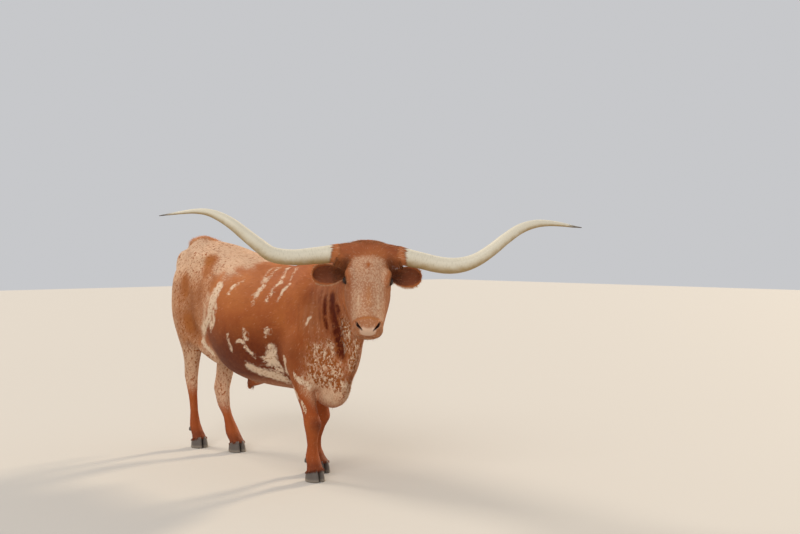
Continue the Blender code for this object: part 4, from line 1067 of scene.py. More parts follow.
def far_side(table, spread):
    """The unseen side: the same kind of marks at other places, drawn with a fixed seed."""
    chance = np.random.default_rng(31)
    made = []
    for half, path in table:
        line = np.array(path) * (-1, 1, 1)
        line = line + np.array([0, *chance.normal(0, spread, 2)])
        line[:, 1:] += chance.normal(0, 0.018, (len(line), 2))
        made.append((half * chance.uniform(0.75, 1.5), line.tolist()))
    return made


def drawn(table):
    """Body coordinates turned into lines that lie on the skin."""
    return [(half, settle(np.array(path) + SHIFT)[0]) for half, path in table]


NECK_CREASE_SHADE_LINES = drawn(NECK_CREASE_SHADE)
WHITE_LINES = drawn(STREAKS + far_side(STREAKS, 0.07))
SPECKLED_LINES = drawn(CHEST_PATCH + DEWLAP_SPECKS + far_side(CHEST_PATCH, 0.015)
                       + far_side(DEWLAP_SPECKS, 0.015))
DARK_LINES, PALE_LINES, BROWN_LINES, CREAM_LINES, ORANGE_LINES = (
    drawn(table + far_side(table, spread)) for table, spread in (
        (DARK_MARKS, 0.01), (PALE_MARKS, 0.02), (BROWN_MARKS, 0.02), (CREAM_MARKS, 0.01),
        (ORANGE_MARKS, 0.05)))


# %% Where each colour lies
def patch_field(points, lines):
    """1 on a mark's middle line, one half at its edge, 0 at twice its half width."""
    field = np.zeros(len(points))
    for half, line in lines:
        low, high = line.min(axis=0) - 2.1 * half, line.max(axis=0) + 2.1 * half
        near = np.nonzero(((points > low) & (points < high)).all(axis=1))[0]
        if len(near):
            away, _ = path_distance(points[near], line)
            field[near] = np.maximum(field[near], 1 - away / (2 * half))
    return np.clip(field, 0, 1)


def blend_in(value, new, share):
    return value + (new - value) * share


def nose_pad(points):
    """The bare skin between and below the nostrils."""
    down, out, aside = head_places(points)
    half = np.interp(out, [-0.094, -0.080, -0.060, -0.045, -0.034], [0.018, 0.036, 0.043, 0.040, 0.026])
    front = step_up(down, 0.522, 0.548) * (1 - step_up(out, -0.042, -0.030)) * step_up(out, -0.096, -0.084)
    return front * (1 - step_up(np.abs(aside), half - 0.004, half + 0.007))


def ear_inside(points, normals):
    """1 on the hollow face of an ear, up to a thin rim."""
    share = np.zeros(len(points))
    for left in (1, -1):
        root, reach, open_to, across = ear_frame(left)
        away = points - root
        s = (away @ reach) / EAR_LENGTH
        half = np.interp(s, [-0.05, 0.1, 0.35, 0.6, 0.8, 0.93, 1.0],
                         [0.030, 0.040, 0.052, 0.055, 0.047, 0.028, 0.002])
        inner = step_up(normals @ open_to, -0.15, 0.25) * step_up(s, -0.04, 0.08)
        inner = inner * (1 - step_up(np.abs(away @ across), half - 0.007, half + 0.001))
        share = np.maximum(share, inner * (np.linalg.norm(away, axis=1) < 0.25))
    return share * np.maximum(ear_share(points), 0.9 * (head_share(points) > 0.5))


# %% Regions that several colours share
def trunk_regions(at):
    """The haunch, the pale back, the hocks, the neck and the ribs, each 1 inside and 0 outside."""
    x, y, z = at.x, at.y, at.z
    edge = np.interp(z, [0.60, 0.777, 0.860, 0.994, 1.133, 1.239, 1.300, 1.365, 1.45],
                     [-0.05, -0.074, -0.127, -0.287, -0.379, -0.440, -0.42, -0.256, -0.25])
    at.haunch = step_up(y - edge, -0.04, 0.06) * step_up(z, 0.50, 0.62)
    uneven = 0.025 * np.sin(y * 37 + 2 * np.sin(x * 20)) + 0.015 * np.sin(y * 83 + x * 60)
    edge = np.interp(y, [-0.95, -0.65, -0.51, -0.20], [1.41, 1.265, 1.190, 1.18])
    at.back = step_up(z + uneven - edge, -0.03, 0.09) * step_up(y, -0.95, -0.66)
    ends_at = np.where(x < 0, 0.34, 0.22)
    at.hocks = step_up(y, -0.36, -0.28) * step_up(z, ends_at, ends_at + 0.14)
    at.hocks = at.hocks * (1 - step_up(z, 0.68, 0.80)) * (y > -0.36)
    at.up_there = step_up(z, 1.10, 1.28)
    at.neck = at.body * step_up(-y, 1.20, 1.40) * step_up(z, 0.75, 0.95)
    # Upright stripes on the folded right side of the neck: the dark ones are painted shade in the folds, with
    # paler roan between them.
    at.strands = ((x < 0.06) * np.sin(y * 150 + x * 60 + 3 * np.sin(z * 9))
                  * np.sin(y * 61 - x * 40 + 2 * np.sin(z * 7 + 1)))
    at.ribs = ((1 - step_up(z, 0.72, 1.06)) * step_up(z, 0.52, 0.60)
               * (1 - step_up(y, -0.32, -0.20)) * step_up(y, -1.16, -1.06))


def dark_openings(at):
    """The nostrils' pits, painted near black as shade, the lids' edges and the streak that tears leave, each
    1 inside.
    """
    at.pit, at.lids, at.tears = np.zeros((3, len(at.points)))
    for left in (1, -1):
        for deep in (0.0, 0.006, 0.012):
            at.pit = np.maximum(at.pit, 1 - step_up(nostril_distance(at.points, left, deep), 0.78, 1.20))
        centre, _, along, over = eye_frame(left)
        near = np.linalg.norm(at.points - centre, axis=1) < 0.05
        at.lids = np.maximum(at.lids, step_up(lid_margin(at.points, left), -0.0042, -0.0018) * near)
        tear, _ = path_distance(at.points, [centre + along * 0.024, centre + along * 0.040 - over * 0.006])
        at.tears = np.maximum(at.tears, np.exp(-(tear / 0.007) ** 2))


def regions(points, normals):
    """Each point's place on the body and the head, with the regions and marks that the colours read."""
    at = SimpleNamespace(points=points)
    at.x, at.y, at.z = (points - SHIFT).T
    at.down, at.out, at.aside = head_places(points)
    at.head, at.ears = head_share(points), ear_share(points)
    at.body = 1 - at.head
    trunk_regions(at)
    dark_openings(at)
    at.speckled = patch_field(points, SPECKLED_LINES)
    at.cream = patch_field(points, CREAM_LINES) ** 0.7
    at.brown = patch_field(points, BROWN_LINES) * at.haunch
    at.orange = patch_field(points, ORANGE_LINES)
    at.creased = np.clip(1.7 * patch_field(points, NECK_CREASE_SHADE_LINES), 0, 1)
    at.nose, at.inner = nose_pad(points), ear_inside(points, normals)
    face = at.head * (1 - step_up(np.abs(at.aside), 0.072, 0.118)) * step_up(at.down, 0.085, 0.135)
    at.face = face * (1 - step_up(at.down, 0.485, 0.505)) * step_up(at.out, -0.14, -0.07)
    middle = at.face * np.exp(-(at.aside / 0.024) ** 2) * step_up(at.down, 0.27, 0.33)
    at.middle = middle * (1 - 0.6 * step_up(at.down, 0.40, 0.46))
    return at


# %% How white the roan is
def body_roan(at):
    y, z = at.y, at.z
    haunch = (0.36 + 0.34 * at.up_there + 0.32 * step_up(y, 0.10, 0.30)) * at.haunch
    roan = np.maximum.reduce([haunch, 0.84 * at.back, 0.74 * at.hocks])
    roan = np.maximum(roan, 0.95 * patch_field(at.points, PALE_LINES))
    roan = roan * (1 - 0.6 * at.brown)
    roan = blend_in(roan, 0.06, step_up(at.orange, 0.25, 0.75))
    roan = np.maximum(roan, (0.12 + 0.16 * np.clip(-at.strands, 0, 1)) * at.neck)
    belly = step_up(-z, -0.62, -0.55) * step_up(z, 0.47, 0.53) * (y > -1.12) * (y < -0.5)
    return np.maximum.reduce([roan, 0.45 * at.speckled, 0.92 * at.cream, 0.07 * at.body, 0.34 * belly])


def head_roan(at, roan):
    down, out, aside = at.down, at.out, np.abs(at.aside)
    cheek = at.head * step_up(down, 0.15, 0.30) * step_up(aside, 0.07, 0.10) * step_up(out, -0.17, -0.12)
    brow = at.head * np.exp(-((down - 0.20) / 0.05) ** 2) * np.exp(-((aside - 0.088) / 0.020) ** 2)
    streak = (np.exp(-((aside - 0.052) / 0.012) ** 2) * step_up(down, 0.33, 0.36)
              * (1 - step_up(down, 0.43, 0.47)))
    roan = blend_in(roan, 0.14, at.head)
    roan = np.maximum.reduce([roan, 0.58 * at.face, 0.26 * cheek * at.head, 0.66 * brow,
                              0.84 * streak * at.face])
    roan = roan * (1 - 0.40 * at.middle)
    whorl = np.exp(-((down - 0.174) / 0.020) ** 2 - (aside / 0.011) ** 2)
    roan = roan * (1 - 0.9 * whorl)
    return blend_in(roan, 0.34, at.head * step_up(down, 0.50, 0.52) * (1 - at.nose))


# %% How dark the red is
def body_dark(at):
    x, y, z = at.x, at.y, at.z
    low_shoulder = ((1 - step_up(z, 0.78, 1.00)) * step_up(z, 0.52, 0.60)
                    * (1 - step_up(y, -1.14, -1.06)) * step_up(y, -1.36, -1.24))
    sheath = np.exp(-((y + 0.42) / 0.05) ** 2) * step_up(-z, -0.60, -0.57) * (np.abs(x) < 0.06)
    dark = np.maximum.reduce([
        (0.84 * at.ribs + 0.34 * low_shoulder) * at.body,
        # a darker neck, with painted fold shade in its dark stripes
        (0.22 + 0.42 * np.clip(at.strands, 0, 1)) * at.neck * (1 - step_up(z, 1.15, 1.30)),
        (0.16 + 0.30 * at.brown) * at.haunch * (1 - at.up_there),
        0.20 * step_up(at.orange, 0.25, 0.75),
        0.60 * step_up(-z, -0.15, -0.09) * at.body,
        0.75 * patch_field(at.points, DARK_LINES) ** 0.8,
        # painted shade in the neck's creases
        at.creased])
    return np.maximum(dark * (1 - 0.9 * at.cream), 0.35 * sheath)


def head_dark(at, dark):
    down, out, aside = at.down, at.out, np.abs(at.aside)
    dark = blend_in(dark, 0.10, at.head * (1 - at.ears))
    # Painted shade: darker in the hollow round each ear's root, below the horn's base.
    hollow = at.head * np.exp(-((down - 0.110) / 0.024) ** 2 - ((aside - 0.118) / 0.026) ** 2)
    # Painted shade inside the ears: the cup darkens, most towards its root.
    rootward = np.zeros(len(at.points))
    for left in (1, -1):
        root, reach, _, _ = ear_frame(left)
        here = np.linalg.norm(at.points - root, axis=1) < 0.24
        rootward = np.maximum(rootward, here * (1 - step_up((at.points - root) @ reach, 0.03, 0.12)))
    lips = np.exp(-((out - np.interp(down, *np.array(MOUTH_LINE).T)) / 0.0030) ** 2)
    return np.maximum.reduce([dark, 0.55 * hollow, at.inner * (0.60 + 0.40 * rootward), at.pit,
                              at.lids * 0.97, at.tears * 0.35,
                              0.55 * lips * step_up(down, 0.42, 0.46) * at.head])


# %% Where the red turns gold, and all colours together
def golden(at):
    gold = 0.52 * step_up(at.z, 0.86, 1.10) * step_up(at.y, -1.10, -0.80) * at.body
    gold = np.maximum(gold, 0.30 * at.body * step_up(at.z, 0.35, 0.60))
    gold = blend_in(gold, 0.85, np.maximum(at.haunch * 0.8, step_up(at.orange, 0.3, 0.7)))
    gold = blend_in(gold, 0.42, at.head)
    gold = blend_in(gold, 0.12, at.head * (1 - step_up(at.down, 0.05, 0.14)))
    above_nose = at.head * np.exp(-((at.down - 0.505) / 0.016) ** 2)
    bosses = at.head * step_up(np.abs(at.aside), 0.13, 0.18) * (1 - at.ears)
    gold = np.maximum.reduce([gold, 0.75 * above_nose, 0.60 * bosses, 0.80 * at.middle])
    return gold * (1 - at.inner)


def markings(points, normals):
    """The colour of every place: mark is white, roan and dark, tone is gold, bare skin and flecks."""
    at = regions(points, normals)
    white = np.maximum(patch_field(points, WHITE_LINES), at.speckled * 0.64)
    roan = head_roan(at, body_roan(at)) * (1 - at.creased) * (1 - 0.6 * np.clip(at.ribs, 0, 1) * at.body)
    dark = head_dark(at, body_dark(at))
    bare = np.maximum.reduce([at.nose, at.lids, at.pit])
    flecks = np.maximum.reduce([0.85 * at.speckled, 0.36 * at.haunch, 0.36 * at.hocks, 0.20 * at.back,
                                0.30 * white])
    mark = np.stack([white * at.body, roan, np.clip(dark, 0, 1)], axis=1)
    tone = np.stack([golden(at), bare, flecks * at.body], axis=1)
    return np.clip(mark, 0, 1), np.clip(tone, 0, 1)


mark, tone = markings(points_of(skin), normals_of(skin))
store(skin, "mark", mark)
store(skin, "tone", tone)
print("markings: share white %.2f, mean roan %.2f, mean dark %.2f"
      % ((mark[:, 0] > 0.5).mean(), *mark[:, 1:].mean(axis=0)))


# %% [markdown]
# ## The lie of the coat
#
# Hair grows in streams: back along the trunk, down the legs and chest, down the face below the whorl on the
# forehead and outwards above it, and out along the ears. A direction for every place comes from a few such
# streams blended by place, and is then laid flat on the skin. Hair at random would look like felt.

# %% Streams of hair
def coat_flow(points, normals):
    x, y, z = (points - SHIFT).T
    down, _, aside = head_places(points)
    side = np.sign(x)[:, None]
    flow = np.tile(np.array([0.0, 1.0, -0.42]), (len(points), 1))
    high = step_up(z, 1.22, 1.34)[:, None]
    flow = blend_in(flow, np.array([0.0, 1.0, -0.05]) + side * np.array([0.25, 0, 0]), high)
    rear = step_up(y, -0.15, 0.20)[:, None]
    flow = blend_in(flow, np.array([0.0, 0.45, -1.0]), rear)
    neck = step_up(-y, 1.15, 1.45)[:, None]
    flow = blend_in(flow, np.array([0.10, 0.75, -0.75]), neck)
    chest = (step_up(-y, 1.15, 1.40) * step_up(-z, -1.10, -0.85))[:, None]
    flow = blend_in(flow, np.array([0.0, 0.30, -1.0]), chest)
    under_belly = step_up(z, 0.56, 0.60) * (y > -1.12) * (y < -0.35)
    legs = (step_up(-z, -0.74, -0.58) * (1 - under_belly))[:, None]
    flow = blend_in(flow, np.array([0.0, 0.10, -1.0]), legs)
    tail = ((y > 0.33) & (np.abs(x) < 0.06) & (z > 0.6))[:, None]
    flow = np.where(tail, np.array([0.0, 0.05, -1.0]), flow)
    lower = step_up(down, 0.13, 0.24)[:, None]
    sideways = np.clip(aside / 0.05, -1, 1)[:, None] * LEFT
    face = blend_in(sideways - DOWN * 0.55, DOWN + sideways * 0.12 - OUT * 0.15, lower)
    face = blend_in(face, sideways + AHEAD * 0.15, step_up(np.abs(aside), 0.11, 0.16)[:, None] * (1 - lower))
    flow = blend_in(flow, face, head_share(points)[:, None])
    ears = ear_share(points)
    for left in (1, -1):
        reach = ear_frame(left)[1]
        flow = blend_in(flow, reach, (ears * (np.sign(aside) == left))[:, None])
    sway = [np.sin(points @ way + start) for way, start in zip(waves[:3] * 1.7, starts[:3])]
    flow = flow + 0.20 * np.stack(sway, axis=1)
    flow = flow - normals * (flow * normals).sum(axis=1, keepdims=True)
    return unit(flow)


# %% Length, width and stand of the hair
LENGTHS_UP = ([0.08, 0.30, 0.55, 0.80], [0.009, 0.012, 0.017, 0.021])  # height, then length or width
WIDTHS_UP = ([0.08, 0.30, 0.55, 0.80], [0.0017, 0.0021, 0.0026, 0.0031])
LENGTHS_DOWN = ([0.00, 0.10, 0.20, 0.45, 0.56], [0.019, 0.014, 0.010, 0.0085, 0.0050])  # down the face
WIDTHS_DOWN = ([0.00, 0.10, 0.20, 0.45, 0.56], [0.0026, 0.0022, 0.0018, 0.0015, 0.0010])


def hair_size(points):
    z, down = points[:, 2], head_places(points)[0]
    head, ears = head_share(points), ear_share(points)
    length = blend_in(np.interp(z, *LENGTHS_UP), np.interp(down, *LENGTHS_DOWN), head)
    width = blend_in(np.interp(z, *WIDTHS_UP), np.interp(down, *WIDTHS_DOWN), head)
    lift = 0.0003 + 0.0006 * step_up(z, 0.5, 0.8) + head * 0.0016 * (1 - step_up(down, 0.02, 0.12))
    return blend_in(length, 0.0095, ears), blend_in(width, 0.0015, ears), blend_in(lift, 0.0002, ears)


# %% [markdown]
# ## An unwrap for the coat's colours
#
# In an export each tuft's colour is kept at its root's place on a flat map of the skin. The map is Blender's
# own smart unwrap of a thinned copy of the skin, and each tuft becomes a patch three thousandths wide at its
# root. A map seen from one side would put tufts of both sides of the animal in one place.

# %% The skin's unwrap
def skin_unwrap():
    low = skin.copy()
    low.data = skin.data.copy()
    bpy.context.scene.collection.objects.link(low)
    apply_modifier(low, "DECIMATE", ratio=14000 / len(low.data.polygons))
    select_only(low)
    bpy.ops.object.mode_set(mode="EDIT")
    bpy.ops.mesh.select_all(action="SELECT")
    bpy.ops.uv.smart_project(angle_limit=math.radians(66), island_margin=0.004)
    bpy.ops.object.mode_set(mode="OBJECT")
    low.data.calc_loop_triangles()
    count = len(low.data.loop_triangles)
    corners = np.empty(count * 3, np.int32)
    low.data.loop_triangles.foreach_get("vertices", corners)
    loops = np.empty(count * 3, np.int32)
    low.data.loop_triangles.foreach_get("loops", loops)
    places = np.empty(len(low.data.loops) * 2, np.float32)
    low.data.uv_layers.active.data.foreach_get("uv", places)
    spots = points_of(low)
    tree = BVHTree.FromPolygons([tuple(p) for p in spots], corners.reshape(-1, 3).tolist())
    bpy.data.objects.remove(low)
    return tree, spots[corners.reshape(-1, 3)], places.reshape(-1, 2)[loops].reshape(-1, 3, 2)


low_tree, low_corners, low_places = skin_unwrap()


def unwrapped(roots):
    """Each root's place on the skin's flat map."""
    found = np.array([low_tree.find_nearest(Vector(p))[2] for p in roots])
    a, b, c = low_corners[found].transpose(1, 0, 2)
    ab, ac, ap = b - a, c - a, roots - a
    d00, d01, d11 = (ab * ab).sum(1), (ab * ac).sum(1), (ac * ac).sum(1)
    d20, d21 = (ap * ab).sum(1), (ap * ac).sum(1)
    scale = np.maximum(d00 * d11 - d01 * d01, 1e-18)
    v = np.clip((d11 * d20 - d01 * d21) / scale, 0, 1)
    w = np.clip((d00 * d21 - d01 * d20) / scale, 0, 1 - v)
    place = low_places[found]
    return place[:, 0] * (1 - v - w)[:, None] + place[:, 1] * v[:, None] + place[:, 2] * w[:, None]


# %% Finishing a piece of coat
PATCH = 0.003  # a tuft's width on the flat map


def finish_hair(obj, roots, rows, chance, tint=None):
    """Stores root, colours and flat map for every blade of a piece. tint is its own mark and tone, if any."""
    each = (rows - 1) * 3 + 1
    mark, tone = markings(roots, settle(roots)[1])
    if tint:
        mark, tone = (np.tile(np.array(part, float), (len(roots), 1)) for part in tint)
    for name, values in (("root", roots), ("mark", mark), ("tone", tone), ("chance", chance)):
        store(obj, name, np.repeat(values, each, axis=0))
    along = np.repeat(np.linspace(0, 1, rows), 3)[: each - 1]
    around = np.tile([-0.5, 0.0, 0.5], rows)[: each - 1]
    patch = np.stack([np.append(around, 0.0), np.append(along, 1.0) - 0.5], axis=1) * PATCH
    spots = np.repeat(unwrapped(roots), each, axis=0) + np.tile(patch, (len(roots), 1))
    flat = obj.data.uv_layers.new(name="OFBake")
    corners = np.empty(len(obj.data.loops), np.int32)
    obj.data.loops.foreach_get("vertex_index", corners)
    flat.data.foreach_set("uv", np.clip(spots, 0, 1)[corners].astype(np.float32).ravel())
    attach(obj, "root")
    return obj


# %% [markdown]
# ## The coat
#
# Short hair lies flat in small overlapping tufts. Roots are spread over the skin in step with the area and
# with how small the tufts are there, each tuft follows the stream, and its middle and tip are settled back
# on to the skin, so that it hugs every fold. Longer hair comes after, only where the animal has it.

# %% Roots spread over the skin
TUFTS = 115000
MOST_IN_A_PIECE = 19400

skin.data.calc_loop_triangles()
triangles = np.empty(len(skin.data.loop_triangles) * 3, np.int32)
skin.data.loop_triangles.foreach_get("vertices", triangles)
triangles = triangles.reshape(-1, 3)
skin_points, skin_normals = points_of(skin), normals_of(skin)


def spread_roots(count, weight):
    """Roots in step with area times weight, with their normals."""
    a, b, c = skin_points[triangles].transpose(1, 0, 2)
    area = np.linalg.norm(np.cross(b - a, c - a), axis=1)
    total = np.cumsum(area * weight[triangles].mean(axis=1))
    picks = np.searchsorted(total, (np.arange(count) + RNG.uniform(0, 1, count)) / count * total[-1])
    picks = np.clip(picks, 0, len(triangles) - 1)
    u, v = RNG.uniform(0, 1, (2, count))
    over = u + v > 1
    u[over], v[over] = 1 - u[over], 1 - v[over]
    share = np.stack([1 - u - v, u, v], axis=1)[:, :, None]
    places, ways = skin_points[triangles[picks]], skin_normals[triangles[picks]]
    return (places * share).sum(axis=1), unit((ways * share).sum(axis=1))


# %% A maker of tufts
TUFT_ROWS = 3
TUFT_SWING = 0.22
ROOT_SUNK = 0.0005


def lay_tufts(name, roots, normals, length, width, lift):
    """Tufts that hug the skin: each one's middle and tip are settled on it and then raised a little."""
    count = len(roots)
    flow = coat_flow(roots, normals)
    across = np.cross(normals, flow)
    swing = RNG.normal(0, TUFT_SWING, count)[:, None] * 0.7
    way = unit(flow + across * swing)
    length = length * RNG.uniform(0.72, 1.25, count)
    path = [roots - normals * ROOT_SUNK]
    for t in np.linspace(0, 1, TUFT_ROWS)[1:]:
        place, facing_here = settle(roots + way * (length * t)[:, None])
        rise = 0.0003 + lift * (1.25 * t - 0.35 * t * t)
        path.append(place + facing_here * rise[:, None])
    chance = RNG.uniform(0, 1, count)
    width = width * RNG.uniform(0.8, 1.25, count)
    made = blades(name, np.stack(path, axis=1), width, normals, flat=0.22, soft=0.72)
    return finish_hair(made, roots, TUFT_ROWS, chance)


# %% Roots for the whole coat
length, width, _ = hair_size(skin_points)
weight = 1 / (length * width)
bare = np.maximum(tone[:, 1], step_up(-skin_points[:, 2], -0.090, -0.070))
weight = weight * (1 - step_up(bare, 0.25, 0.6))
weight = weight * (1 - 0.5 * ear_share(skin_points))
roots, root_normals = spread_roots(TUFTS, weight)
print("tufts over the skin:", len(roots))

# %% The short coat, in pieces by region
REGIONS = ["head", "legs", "neck", "ribs_right", "ribs_left", "haunch_right", "haunch_left"]
x, y, z = (roots - SHIFT).T
on_head = head_share(roots) > 0.5
region = np.select([on_head, z < 0.58, y < -1.17, (y < -0.50) & (x < 0), y < -0.50, x < 0],
                   [0, 1, 2, 3, 4, 5], 6)
coats = []
for number, word in enumerate(REGIONS):
    mine = np.nonzero(region == number)[0]
    parts = max(1, math.ceil(len(mine) / MOST_IN_A_PIECE))
    for k, some in enumerate(np.array_split(mine[np.argsort(y[mine])], parts)):
        coats.append(lay_tufts("coat_%s_%d" % (word, k + 1), roots[some], root_normals[some],
                               *hair_size(roots[some])))
print("coat pieces:", {c.name: len(c.data.polygons) for c in coats})


# %% Riding and standing for the solids
def ride(obj, slot, *nodes):
    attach(obj, "root")
    if nodes:
        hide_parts(*nodes)


ride(skin, "coat", *FLESH, "ear_left", "ear_right", "tail")
for left, word in SIDES:
    ride(horns[left], "horn", "horn_" + word)
    ride(eyes[left], "eye", "eye_" + word)
for name, obj in hooves.items():
    ride(obj, "hoof", *["%s_%s_%s" % (kind, name, word) for kind in ("claw", "dewclaw") for _, word in SIDES])
ride(switch, "tail_hair", "tail_switch")


# %% [markdown]
# ## Longer hair
#
# Some places carry longer hair that stands off the body: the ears' rims, the poll and the ragged edge over
# each horn's base, the ridge above the tail, the sheath, the brisket's edge, the fetlocks and the hair that
# hangs over the hooves. These blades have more rows, so that they bend, and they end thin.

# %% A maker of longer hair
long_pieces = []


def long_hair(name, roots, ways, length, width, rise=0.0, droop=0.0, rows=5, spread=0.16, tint=None):
    """Blades that leave the skin along their ways, rise off it, and droop with their length."""
    count = len(roots)
    roots, normals = settle(roots)
    ways = unit(unit(ways) + RNG.normal(0, spread, (count, 3)) + normals * rise)
    length = length * RNG.uniform(0.65, 1.2, count)
    path = []
    for t in np.linspace(0, 1, rows):
        place = roots + ways * (length * t)[:, None] - normals * 0.0012 * (1 - t)
        path.append(place - np.array([0, 0, 1.0]) * (droop * length * t * t)[:, None])
    facing = unit(normals + RNG.normal(0, 0.25, (count, 3)))
    width = width * RNG.uniform(0.7, 1.2, count)
    made = blades(name, np.stack(path, axis=1), width, facing, flat=0.5, soft=0.35)
    long_pieces.append(finish_hair(made, roots, rows, RNG.uniform(0, 1, count), tint))


def near_line(line, count, scatter):
    """Places scattered round a line."""
    line = np.asarray(line)
    t = RNG.uniform(0, 1, count) * (len(line) - 1)
    low = np.minimum(t.astype(int), len(line) - 2)
    places = line[low] + (line[low + 1] - line[low]) * (t - low)[:, None]
    return places + RNG.normal(0, scatter, (count, 3))


# %% Hair of the ears
def ear_hair(left, word):
    """A fringe round the ear's rim, and loose locks in the hollow of its root."""
    _, reach, open_to, across = ear_frame(left)
    count = 900
    s_at = RNG.uniform(0.02, 1.0, count) ** 0.8
    rim = RNG.choice([-1.0, 1.0], count)
    rim = np.where(s_at > 0.93, RNG.uniform(-1, 1, count), rim)
    places = np.array([ear_surface(left, a, b * 0.97) for a, b in zip(s_at, rim)])
    outward = unit(across * rim[:, None] + reach * (0.35 + 1.4 * s_at ** 4)[:, None] + open_to * 0.25)
    # The fringe's pale gold is painted light: the glow of light shining through the ears' thin rims.
    long_hair("ear_fringe_" + word, places, outward, 0.0120, 0.0011, rise=0.05, droop=0.06, rows=4,
              tint=((0, 0.55, 0), (1, 0, 0)))
    count = 420
    s_at = RNG.uniform(0.00, 0.42, count)
    places = np.array([ear_surface(left, a, b) for a, b in zip(s_at, RNG.uniform(-0.9, 0.5, count))])
    ways = np.tile(reach * 0.8 + open_to * 0.7 - across * 0.2, (count, 1))
    # These locks sit in the ear's cup and are darkened with painted shade.
    long_hair("ear_lock_" + word, places + open_to * 0.004, ways, 0.022, 0.0012, rise=0.25, droop=0.12,
              tint=((0, 0.10, 0.35), (0.5, 0, 0)))


# %% Hair that lies out over the horns' bases
HORN_ROWS = {1: HORN_LEFT, -1: HORN_RIGHT}
SECTORS = 24


def skin_round_horn(left):
    """The skin's points just inside the edge where it meets the horn, found sector by sector."""
    from_root = skin_points - HORN_ROOT
    reached = from_root @ LEFT * left
    off_axis = np.linalg.norm(from_root - np.outer(reached, LEFT * left), axis=1)
    boss = np.nonzero((reached > 0.13) & (off_axis < 0.080) & (ear_share(skin_points) < 0.3))[0]
    turn = np.arctan2(from_root @ AHEAD, from_root @ UP_HEAD) + math.pi
    sector = (turn / math.tau * SECTORS).astype(int) % SECTORS
    edge = np.array([reached[boss][sector[boss] == k].max() for k in range(SECTORS)])
    print("skin round the horn ends", round(edge.min(), 3), "to", round(edge.max(), 3), "m from the middle")
    return boss[(reached[boss] > edge[sector[boss]] - 0.016) & (skin_normals[boss] @ LEFT * left < 0.6)]


def horn_edge(left, word):
    near = skin_round_horn(left)
    count = 1700
    roots = skin_points[RNG.choice(near, count)] + RNG.normal(0, 0.0015, (count, 3))
    horn_tree = tree_of(horns[left])
    axis = unit(horn_line(HORN_ROWS[left], left)[0][18] - HORN_ROOT)
    ways = unit(axis + RNG.normal(0, 0.05, (count, 3)))
    length = RNG.uniform(0.026, 0.047, count)
    path = [roots]
    for t in (0.33, 0.66, 1.0):
        places = roots + ways * (length * t)[:, None]
        found = [horn_tree.find_nearest(Vector(p))[:2] for p in places]
        path.append(np.array([f[0] + f[1] * (0.0034 - 0.0022 * t) for f in found]))
    facing = np.array([horn_tree.find_nearest(Vector(p))[1] for p in path[1]])
    width = RNG.uniform(0.0026, 0.0044, count)
    made = blades("horn_edge_" + word, np.stack(path, axis=1), width, facing, flat=0.3, soft=0.6)
    tint = ((0, 0.16, 0.04), (0.45, 0, 0))
    long_pieces.append(finish_hair(made, roots, 4, RNG.uniform(0, 1, count), tint))


# %% Hair under the horns' bases, and the three together
def boss_fringe(left, word):
    count = 1000
    turn = RNG.uniform(-1.3, 1.3, count)
    ring = np.stack([AHEAD * np.sin(t) - UP_HEAD * np.cos(t) for t in turn])
    start = HORN_ROOT + LEFT * left * RNG.uniform(0.085, 0.200, count)[:, None] + ring * 0.058
    long_hair("boss_fringe_" + word, start, ring * 0.2 + LEFT * left * 0.45 - UP_HEAD * 0.8,
              0.018 + 0.020 * np.cos(turn) ** 2, 0.0018, rise=0.06, droop=0.05, spread=0.30)


for left, word in SIDES:
    ear_hair(left, word)
    horn_edge(left, word)
    boss_fringe(left, word)

# %% The poll
POLL_LINE = [head_point(0.005, -0.030, -0.150), head_point(-0.020, -0.015, -0.060),
             head_point(-0.024, -0.012, 0.0), head_point(-0.020, -0.015, 0.060),
             head_point(0.005, -0.030, 0.150)]
places = near_line(POLL_LINE, 1500, 0.022)
_, _, aside = head_places(places)
ways = LEFT * np.clip(aside / 0.06, -1, 1)[:, None] + AHEAD * 0.35 + DOWN * 0.2
long_hair("poll_hair", places, ways, 0.0200, 0.0019, rise=0.12, droop=0.10, tint=((0, 0.22, 0), (0.5, 0, 0)))

# %% Tail head, tail, sheath and brisket
TAIL_HEAD = [(0, 0.02, 1.46), (0, 0.15, 1.46), (0, 0.25, 1.455), (0, 0.34, 1.43)]
TAIL_REST = smooth_rows(TAIL, 4)[6:, :3]
SHEATH = [(0, -0.405, 0.495), (0, -0.425, 0.490)]
BRISKET = [(0, -1.62, 0.76), (0, -1.56, 0.64), (0, -1.48, 0.57), (0, -1.30, 0.53)]
ALONG_LINES = [  # name, line, count, scatter, way, length, width, rise, droop, tint
    ("tail_head_ridge", TAIL_HEAD, 1100, 0.018, (0.0, 0.8, 0.25), 0.028, 0.0019, 0.42, 0.08,
     ((0, 0.20, 0), (0.9, 0, 0))),
    ("tail_hair", TAIL_REST, 1500, 0.010, (0.0, 0.05, -1.0), 0.026, 0.0018, 0.10, 0.0, None),
    ("sheath_tuft", SHEATH, 150, 0.008, (0.0, -0.10, -1.0), 0.026, 0.0013, 0.10, 0.0,
     ((0, 0.1, 0.1), (0.6, 0, 0))),
    ("brisket_hair", BRISKET, 900, 0.022, (0.0, 0.25, -1.0), 0.022, 0.0020, 0.10, 0.0, None),
]
for name, line, count, scatter, way, length, width, rise, droop, tint in ALONG_LINES:
    places = near_line(np.array(line) + SHIFT, count, scatter)
    long_hair(name, places, np.tile(way, (count, 1)), length, width, rise, droop, tint=tint)

